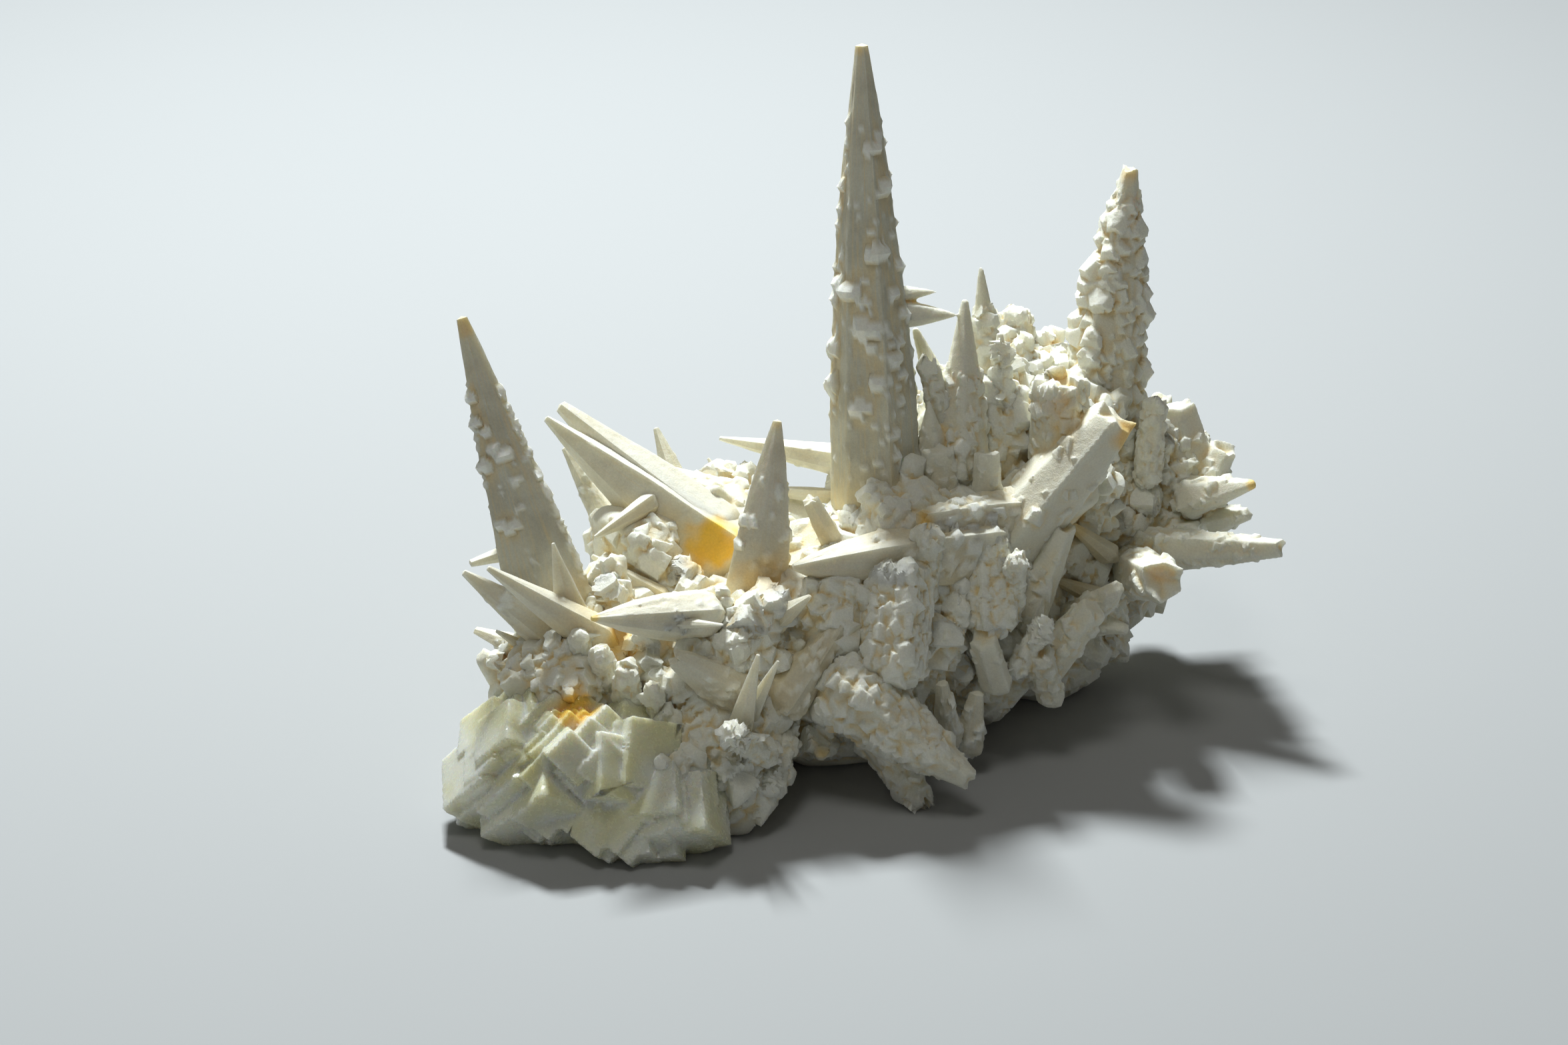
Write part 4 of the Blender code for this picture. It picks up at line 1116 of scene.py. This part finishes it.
def lump_form(number, lump, fineness, relief):
    """A rough lump with the broken faces of its solid, and a worn, pitted surface."""
    dice = random.Random(number)
    deselect_all()
    bpy.ops.mesh.primitive_ico_sphere_add(subdivisions=fineness, radius=1.1)
    form = Form(bpy.context.object)
    points = form.points
    for _ in range(BREAKS):
        across = unit(np.array([dice.gauss(0, 1), dice.gauss(0, 1), dice.gauss(0, 1)]))
        reach = dice.uniform(NEAREST_BREAK, FARTHEST_BREAK)
        beyond = np.maximum(0, points @ across - reach)
        points = points - across * beyond[:, None]
    way = points / np.linalg.norm(points, axis=1)[:, None]
    points = points * np.array(lump.size) * MM + place(*lump.middle)
    form.points = points + way * (relief * MM * rough(points / (6 * MM), 2, number))[:, None]
    form.points[:, 2] = np.maximum(form.points[:, 2], 0.00002 * cloud(points / MM, 3) + 0.00003)
    return form


def far_ray(dice):
    """A ray that looks at the mass from a way off, often from the front."""
    aim = place(dice.uniform(-78, 108), dice.uniform(-78, 44), dice.uniform(-70, 40))
    turn = dice.uniform(0, math.tau)
    back = unit(np.array((math.cos(turn), math.sin(turn), dice.uniform(-0.2, 1.2))))
    if dice.random() < 0.4:
        back = unit(EYE_WAY + np.array([dice.uniform(-0.5, 0.5) for _ in range(3)]))
    return Vector(aim + back * 0.6), Vector(-back)


# How many rays are tried for each spot that is wanted.
TRIES = 14


def mass_spots(ground, count, spacing, dice, lowest):
    """Spots spread over the mass as it is seen from all round, no two nearer than the spacing."""
    taken = set()
    spots = []
    tries = 0
    while len(spots) < count and tries < count * TRIES:
        tries += 1
        met = ground.meet(*far_ray(dice))
        if met is None or met[0][2] < lowest * MM:
            continue
        cell = tuple((met[0] // (spacing * MM)).astype(int))
        if cell in taken:
            continue
        taken.add(cell)
        spots.append(met)
    return spots


def even_normal(spot, normal, trust):
    """The normal of a spot, evened out by that of the lump which it is on."""
    nearest, way = 9.0, normal
    for lump in LUMPS:
        size = np.array(lump.size) * MM
        off = (spot - place(*lump.middle)) / size
        reach = float(np.linalg.norm(off))
        if reach < nearest:
            nearest, way = reach, unit(off / size)
    return unit(normal * trust + way * (1 - trust))


# The crystals over the mass, from the cleavage blocks to the finest, and how far their tips lift off it.
BLOCK_COVER = Cover(110, 11, 7.0, 12.0, 0.42, 1.08, 8.0)
COARSE_COVER = Cover(2000, 3.2, 3.0, 6.2, 0.04, 1.25, 5.0)
FINE_COVER = Cover(3000, 2.2, 1.7, 3.4, 0.0, 1.25, 4.0)
LEAST_LIFT = 2
MOST_LIFT = 22
# The half-buried crystals, from the largest, and the lowest height that they stand at.
LARGE_WEDGES = Wedges(90, 15.0, 5.0, 8.5)
SMALL_WEDGES = Wedges(160, 9.0, 2.4, 5.0)
LOWEST_WEDGE = 9.0
WEDGE_STEPS = 0.4


def mass_coat(ground, pile, forms, cover, dice):
    """Crystals over the mass, each growing the way of its zone."""
    spots = mass_spots(ground, cover.count, cover.spacing, dice, cover.lowest)
    where = np.array([spot for spot, _ in spots])
    depth = lump_nearness(where)
    bare = bare_matrix(where)
    middles = np.array([place(*zone.middle) for zone in ZONES])
    headings = [heading_way(zone.heading) for zone in ZONES]
    for (spot, normal), outside, naked in zip(spots, depth, bare):
        number = int(np.argmin(np.linalg.norm(middles - spot, axis=1)))
        zone = ZONES[number]
        if outside > cover.near or naked > 0.5 or zone.forms not in forms or dice.random() > zone.cover:
            continue
        size = (cover.small + (cover.large - cover.small) * dice.random() ** 1.4) * zone.size
        lift = math.radians(dice.uniform(LEAST_LIFT, MOST_LIFT))
        matrix = lay(
            spot, even_normal(spot, normal, 0.35),
            headings[number] + np.array([dice.gauss(0, 0.16) for _ in range(3)]),
            size, cover.sink, dice.gauss(0, 0.22), lift, dice.uniform(0.75, 1.25),
        )
        pile.add_copy(dice.choice(forms[zone.forms]), matrix, 0.8, dice.uniform(0, 1), dice)


def mass_wedges(ground, column, pile, wedges, dice):
    """Half-buried dogtooth crystals, whose ends stand out of the mass."""
    spots = mass_spots(ground, wedges.count, wedges.spacing, dice, LOWEST_WEDGE)
    where = np.array([spot for spot, _ in spots])
    depth = lump_nearness(where)
    bare = bare_matrix(where)
    middles = np.array([place(*zone.middle) for zone in ZONES])
    for order, ((spot, normal), outside, naked) in enumerate(zip(spots, depth, bare)):
        zone = ZONES[int(np.argmin(np.linalg.norm(middles - spot, axis=1)))]
        if outside > 1.12 or naked > 0.5 or dice.random() > zone.cover + 0.2:
            continue
        heading = heading_way(zone.heading)
        normal = even_normal(spot, normal, 0.3)
        way = unit(heading * 0.75 + normal * 0.45 + np.array([dice.gauss(0, 0.14) for _ in range(3)]))
        wide = dice.uniform(wedges.small, wedges.large)
        length = wide * dice.uniform(2.8, 3.8)
        out = wide * dice.uniform(0.6, 1.1)
        base = spot - way * (length - out) * MM
        if lump_nearness(base[None])[0] > 0.85:
            continue
        tip, foot = read_back(np.array([spot + way * out * MM, base]))
        blunt = dice.uniform(0.15, 0.5) * wide
        belly = dice.uniform(1.3, 2.0)
        facing = dice.uniform(0, 360)
        deep = dice.uniform(0.7, 1.0)
        crystal = Crystal(tuple(tip), tuple(foot), wide, blunt, belly, "mass", WEDGE_STEPS, facing, deep)
        points, _, along, grain = crystal_points(column, crystal, 200 + order)
        if points[:, 2].min() < 0.4 * MM:
            continue
        # Painted shade on the part of a wedge that is buried in the mass.
        crevice = 0.8 * smooth(along * length, out * 0.7, out * 1.5)
        pile.add(column, points, crevice, dice.random(), grain)


# The three ways along which the matrix breaks (right, up, toward).
CLEAVAGE = [(0.62, 0.55, 0.56), (-0.75, 0.45, 0.48), (0.1, -0.75, 0.65)]

# The grains of the matrix, each with its own cleavage: middle (right, up, toward), and how far it is turned.
GRAINS = [
    ((-66, -58, 30), 0.0),
    ((-46, -78, 40), 0.9),
    ((-34, -56, 40), 1.9),
    ((-60, -82, 10), 2.6),
    ((-50, -52, 42), 3.4),
    ((-30, -74, 36), 4.4),
]
# The cleavage blocks of the matrix, which may stand anywhere on it.
SLABS = Cover(380, 3.6, 4.0, 15.0, 0.42, near=None, lowest=2.0)


def matrix_slabs(ground, druse, dice):
    """Cleavage blocks of the broken matrix, set the same way in each grain."""
    middles = np.array([place(*middle) for middle, _ in GRAINS])
    broken = []
    for _, turn in GRAINS:
        turned = np.array(Matrix.Rotation(turn, 3, "Z"))
        broken.append(np.array([turned @ heading_way(way) for way in CLEAVAGE]))
    for spot, normal in mass_spots(ground, SLABS.count, SLABS.spacing, dice, SLABS.lowest):
        size = SLABS.small + (SLABS.large - SLABS.small) * dice.random() ** 1.3
        matrix = np.eye(4)
        matrix[:3, :3] *= size * MM
        matrix[:3, 3] = spot - normal * SLABS.sink * size * MM
        reach = [dice.uniform(0.35, 0.6) for _ in range(6)]
        ways = broken[int(np.argmin(np.linalg.norm(middles - spot, axis=1)))]
        worn = ways + np.array([[dice.gauss(0, 0.04) for _ in range(3)] for _ in ways])
        faces = np.column_stack([np.concatenate([worn, -worn]), reach])
        druse.add_copy(faces, matrix, 0.0, dice.random(), dice)


def cleaved(name, piles, druse, skin, material):
    """A skin broken along the cleavage into flat terraces."""
    thing, points, edges = grown_together(name, piles, skin.voxel)
    points = evened(points, edges, skin.rounds, 0.5)
    points, _, tones = druse.raised(points, settled(thing.data, points, edges, 24))
    points = evened(points, edges, 1, 0.3)
    sunk = hollows(thing.data, points, edges)
    dress(thing, smooth(sunk, 0.1, 0.6), tones, np.zeros_like(tones), points / MM)
    thinned(thing, skin.keep, CLEAVAGE_SHARP)
    hand_in(thing, material)


def bare_matrix(points):
    """1 where the broken matrix shows bare, 0 where crystals coat it."""
    reading = read_back(points)
    wander = 5 * cloud(points / (9 * MM), 21)
    low = smooth(-reading[:, 1] + wander - 0.35 * (reading[:, 0] + 60), 54, 57)
    left = 1 - smooth(reading[:, 0] + wander, -32, -28)
    return low * left * (reading[:, 2] > -6)


def node_maker(material):
    """A short way to add nodes and join them."""
    tree = material.node_tree

    def make(kind, **values):
        node = tree.nodes.new(kind)
        for key, value in values.items():
            setattr(node, key, value)
        return node

    def link(out, into):
        tree.links.new(out, into)

    return make, link


def blend(make, link, share, first, second):
    """A colour between two, each a colour or a socket."""
    node = make("ShaderNodeMix", data_type="RGBA")
    link(share, node.inputs[0])
    for value, socket in ((first, node.inputs[6]), (second, node.inputs[7])):
        if isinstance(value, tuple):
            socket.default_value = value
        else:
            link(value, socket)
    return node.outputs[2]


def limits(make, link, value, low, high, start=0.0, end=1.0):
    """A value stretched from low..high to start..end."""
    node = make("ShaderNodeMapRange", interpolation_type="SMOOTHSTEP")
    link(value, node.inputs["Value"])
    node.inputs["From Min"].default_value = low
    node.inputs["From Max"].default_value = high
    node.inputs["To Min"].default_value = start
    node.inputs["To Max"].default_value = end
    return node.outputs["Result"]


def noise_at(make, link, vector, scale, detail, roughness=0.6):
    node = make("ShaderNodeTexNoise")
    link(vector, node.inputs["Vector"])
    node.inputs["Scale"].default_value = scale
    node.inputs["Detail"].default_value = detail
    node.inputs["Roughness"].default_value = roughness
    return node.outputs["Fac"]


def maths(make, link, operation, first, second):
    node = make("ShaderNodeMath", operation=operation, use_clamp=False)
    for value, socket in ((first, node.inputs[0]), (second, node.inputs[1])):
        if isinstance(value, (int, float)):
            socket.default_value = value
        else:
            link(value, socket)
    return node.outputs[0]


def calcite(look):
    """Frosted calcite: two-coloured patches, a colour in the crevices (on the crystals a painted warm shade),
    raised small crystals whiter, partly as a painted highlight, and honey where light comes through.
    """
    material = bpy.data.materials.new(look.name)
    material.use_nodes = True
    shader = material.node_tree.nodes["Principled BSDF"]
    make, link = node_maker(material)
    where = make("ShaderNodeTexCoord").outputs["Object"]
    crevice = make("ShaderNodeAttribute", attribute_name="crevice").outputs["Fac"]
    glow = make("ShaderNodeAttribute", attribute_name="glow").outputs["Fac"]
    tone = make("ShaderNodeAttribute", attribute_name="tone").outputs["Fac"]
    coat = make("ShaderNodeAttribute", attribute_name="coat").outputs["Fac"]
    grain = make("ShaderNodeAttribute", attribute_name="grain").outputs["Vector"]
    patches = limits(make, link, noise_at(make, link, where, look.patches, look.detail), 0.38, 0.66)
    colour = blend(make, link, patches, look.pale, look.dull)
    if look.streaks:
        streak = limits(make, link, noise_at(make, link, grain, 1.0, 4, 0.7), 0.45, 0.75, 0.0, look.streaks)
        colour = blend(make, link, streak, colour, look.deep)
    # Raised small crystals toward white: partly their own paler colour, partly a painted highlight.
    colour = blend(make, link, coat, colour, SNOW_AND_HIGHLIGHT)
    # Painted shade: the crevices take the look's deep colour, a warm tan on the crystals.
    mottle = noise_at(make, link, where, 3 * look.patches, look.detail - 1)
    depth = maths(make, link, "MULTIPLY", crevice, limits(make, link, mottle, 0.25, 0.6, 0.55, 1.1))
    colour = blend(make, link, depth, colour, look.deep)
    colour = blend(make, link, glow, colour, HONEY)
    fine = limits(make, link, noise_at(make, link, where, 1900, 3, 0.7), 0.3, 0.7, 0.94, 1.04)
    lift = limits(make, link, tone, 0, 1, 0.93, 1.04)
    value = maths(make, link, "MULTIPLY", fine, lift)
    shade = make("ShaderNodeVectorMath", operation="SCALE")
    link(colour, shade.inputs[0])
    link(value, shade.inputs["Scale"])
    link(shade.outputs[0], shader.inputs["Base Color"])
    frost = noise_at(make, link, where, 2600, 3, 0.75)
    pits = noise_at(make, link, where, 700, 4, 0.6)
    relief = maths(make, link, "ADD", maths(make, link, "MULTIPLY", frost, 0.6), pits)
    bump = make("ShaderNodeBump")
    bump.inputs["Strength"].default_value = 0.7
    bump.inputs["Distance"].default_value = look.frost
    link(relief, bump.inputs["Height"])
    link(bump.outputs["Normal"], shader.inputs["Normal"])
    gloss = limits(make, link, pits, 0.3, 0.7, look.rough - 0.1, look.rough + 0.1)
    link(gloss, shader.inputs["Roughness"])
    shader.inputs["IOR"].default_value = 1.6
    shader.inputs["Subsurface Weight"].default_value = look.scatter
    shader.inputs["Subsurface Radius"].default_value = (1.0, 0.85, 0.6)
    shader.inputs["Subsurface Scale"].default_value = 0.004
    shader.inputs["Transmission Weight"].default_value = look.clear
    return material


GREY_CREAM = (0.67, 0.665, 0.55, 1)
DULL_GREY = (0.55, 0.535, 0.43, 1)
CREAM = (0.79, 0.77, 0.645, 1)
DULL_CREAM = (0.68, 0.65, 0.52, 1)
# Warm tan: the spires' streaks, and the painted shade in the crystals' crevices.
STREAK_AND_SHADE_TAN = (0.80, 0.65, 0.35, 1)
HONEY = (0.90, 0.55, 0.06, 1)
# The white of the raised small crystals, partly a painted highlight; also the matrix's crevice colour.
SNOW_AND_HIGHLIGHT = (0.87, 0.88, 0.80, 1)
DULL_SNOW = (0.79, 0.775, 0.64, 1)
STRAW = (0.87, 0.88, 0.76, 1)
OLIVE_STRAW = (0.80, 0.78, 0.50, 1)

LOOKS = {
    "spire": Look("frosted_spire", GREY_CREAM, DULL_GREY, STREAK_AND_SHADE_TAN, 0.62, 0.00022, streaks=0.6),
    "cream": Look("frosted_cream", CREAM, DULL_CREAM, STREAK_AND_SHADE_TAN, 0.65, 0.00025, streaks=0.25),
    "mass": Look("crystal_mass", DULL_SNOW, CREAM, STREAK_AND_SHADE_TAN, 0.65, 0.0003),
    "matrix": Look(
        "broken_yellow", STRAW, OLIVE_STRAW, SNOW_AND_HIGHLIGHT, 0.24, 0.00003,
        clear=0.15, scatter=0.8, patches=58, detail=2,
    ),
}


def build_large(forms, finish, dice):
    """The large crystals, piece by piece, with the small ones that grow on them."""
    piles = {}
    druses = {}
    columns = {}
    standing = []
    for number, crystal in enumerate(CRYSTALS):
        _, length, _ = crystal_frame(crystal)
        plain = FUSED_LATTICE if crystal.piece in FUSED_CRYSTALS else OTHER_LATTICE
        around, pitch = LATTICES.get(number, plain)
        rings = max(FEWEST_RINGS, int(length / pitch))
        if (around, rings) not in columns:
            columns[around, rings] = column_form(around, rings)
        form = columns[around, rings]
        growing = Growing(number, form)
        standing.append(growing)
        nearness = lump_nearness(growing.points)
        # Painted shade where a large crystal runs into the lumps of the mass.
        crevice = 0.6 * (1 - smooth(nearness, 0.95, 1.3))
        pile = piles.setdefault(crystal.piece, Pile())
        pile.add(form, growing.points, crevice, dice.random(), growing.grain)
    for number, growing in enumerate(standing):
        druse = druses.setdefault(growing.crystal.piece, Druse())
        bumps_on(growing, forms[SHELVES], druse, dice)
        plain = COLUMN_COATS if growing.crystal.piece == "mass_columns" else []
        for coat in SPIRE_COATS.get(number, plain):
            coat_on(growing, coat, forms[coat.forms], druse, dice)
    for fringe in FRINGES:
        growing = standing[fringe.spire]
        fringe_on(growing, fringe, forms[TOOTHED], druses[growing.crystal.piece], dice)
    for name, pile in piles.items():
        if name in FUSED_CRYSTALS:
            fused(name, [pile], druses[name], FUSED_CRYSTALS[name], finish["mass"])
        else:
            look = "spire" if name in ("main_spire", "left_spire") else "cream"
            pile.piece(name, finish[look], druses[name])
    return list(piles.values())


class Ground:
    """Piles as one surface that rays can meet; open_faces counts the faces that crystals may grow on."""

    def __init__(self, open_piles, closed_piles):
        points, corners, counts = joined(open_piles + closed_piles).faces()
        ends = np.cumsum(counts)
        faces = [corners[end - count : end].tolist() for end, count in zip(ends, counts)]
        self.tree = BVHTree.FromPolygons(points.tolist(), faces)
        self.open_faces = sum(len(count) for pile in open_piles for count in pile.counts)

    def meet(self, start, way):
        """The spot and normal that a ray meets, or None where nothing may grow."""
        spot, normal, number, _ = self.tree.ray_cast(start, way)
        if spot is None or number >= self.open_faces:
            return None
        if normal.dot(way) > 0:
            normal = -normal
        return np.array(spot), np.array(normal)


def build_mass(large, forms, finish, dice):
    """The lumps and the crystals that cover them, from the largest to the finest."""
    lumps = Pile()
    matrix = Pile()
    for number, lump in enumerate(LUMPS, start=1):
        bare = number <= BARE_LUMPS
        form = lump_form(number, lump, *(BARE_BALL if bare else COATED_BALL))
        # Painted shade over the coated lumps, little over the bare matrix.
        crevice = np.full(len(form.points), 0.15 if bare else 0.7)
        (matrix if bare else lumps).add(form, form.points, crevice, 0.5, form.points / MM)
    slabs = Druse()
    matrix_slabs(Ground([matrix], [lumps]), slabs, dice)
    blocks = Pile()
    block_forms = {SHINGLED: forms[BLOCKS], CHUNKS: forms[BLOCKS]}
    covered = [matrix] + large
    mass_coat(Ground([lumps], covered), blocks, block_forms, BLOCK_COVER, dice)
    wedges = Pile()
    mass_wedges(Ground([lumps], covered), column_form(18, 16), wedges, LARGE_WEDGES, dice)
    mass_wedges(Ground([lumps, wedges], covered), column_form(12, 10), wedges, SMALL_WEDGES, dice)
    ground = Ground([lumps, wedges, blocks], covered)
    druse = Druse()
    mass_coat(ground, druse, forms, COARSE_COVER, dice)
    mass_coat(ground, druse, forms, FINE_COVER, dice)
    fused("crystal_mass", [lumps, blocks, wedges], druse, MASS_SKIN, finish["mass"])
    cleaved("broken_matrix", [matrix], slabs, MATRIX_SKIN, finish["matrix"])


FLOOR_GREY = (0.36, 0.37, 0.375, 1)
COOL = (0.93, 0.985, 1.0)
WARM = (1.0, 0.985, 0.93)
ROOM = (1.0, 0.985, 0.94, 1)
ROOM_STRENGTH = 0.08
Lamp = namedtuple("Lamp", "name spot size power colour")
LAMPS = [
    Lamp("key", (-0.17, 0.58, 0.98), 0.16, 23, COOL),
    Lamp("top", (-0.15, -0.30, 1.15), 0.3, 1.9, WARM),
    Lamp("fill", (-0.55, -1.0, 0.75), 1.2, 0.55, WARM),
]


def floor():
    """A plain pale floor."""
    deselect_all()
    bpy.ops.mesh.primitive_plane_add(size=6)
    thing = bpy.context.object
    thing.name = "pale_floor"
    material = bpy.data.materials.new("pale_floor")
    material.use_nodes = True
    shader = material.node_tree.nodes["Principled BSDF"]
    shader.inputs["Base Color"].default_value = FLOOR_GREY
    shader.inputs["Roughness"].default_value = 0.8
    thing.data.materials.append(material)


def soft_light(lamp, aim):
    """A square lamp that looks at the aim."""
    data = bpy.data.lights.new(lamp.name, "AREA")
    data.energy = lamp.power
    data.size = lamp.size
    data.color = lamp.colour
    thing = bpy.data.objects.new(lamp.name, data)
    thing.location = lamp.spot
    thing.rotation_euler = (Vector(lamp.spot) - Vector(aim)).to_track_quat("Z", "Y").to_euler()
    bpy.context.scene.collection.objects.link(thing)


def studio():
    """A key light high up behind the specimen, weak ones above and in front, and the camera."""
    middle = Vector(place(0, 0, 0))
    for lamp in LAMPS:
        soft_light(lamp, middle)
    bpy.context.scene.view_settings.view_transform = "Standard"
    world = bpy.data.worlds.new("studio")
    world.use_nodes = True
    world.node_tree.nodes["Background"].inputs["Color"].default_value = ROOM
    world.node_tree.nodes["Background"].inputs["Strength"].default_value = ROOM_STRENGTH
    bpy.context.scene.world = world
    data = bpy.data.cameras.new("camera")
    data.lens = 100
    data.sensor_width = 36
    camera = bpy.data.objects.new("camera", data)
    camera.location = middle + Vector(EYE_WAY) * EYE_DISTANCE * MM
    camera.rotation_euler = Vector(EYE_WAY).to_track_quat("Z", "Y").to_euler()
    bpy.context.scene.collection.objects.link(camera)
    bpy.context.scene.camera = camera


def main():
    dice = random.Random(SEED)
    forms = small_forms()
    finish = {kind: calcite(look) for kind, look in LOOKS.items()}
    large = build_large(forms, finish, dice)
    build_mass(large, forms, finish, dice)
    floor()
    studio()


main()
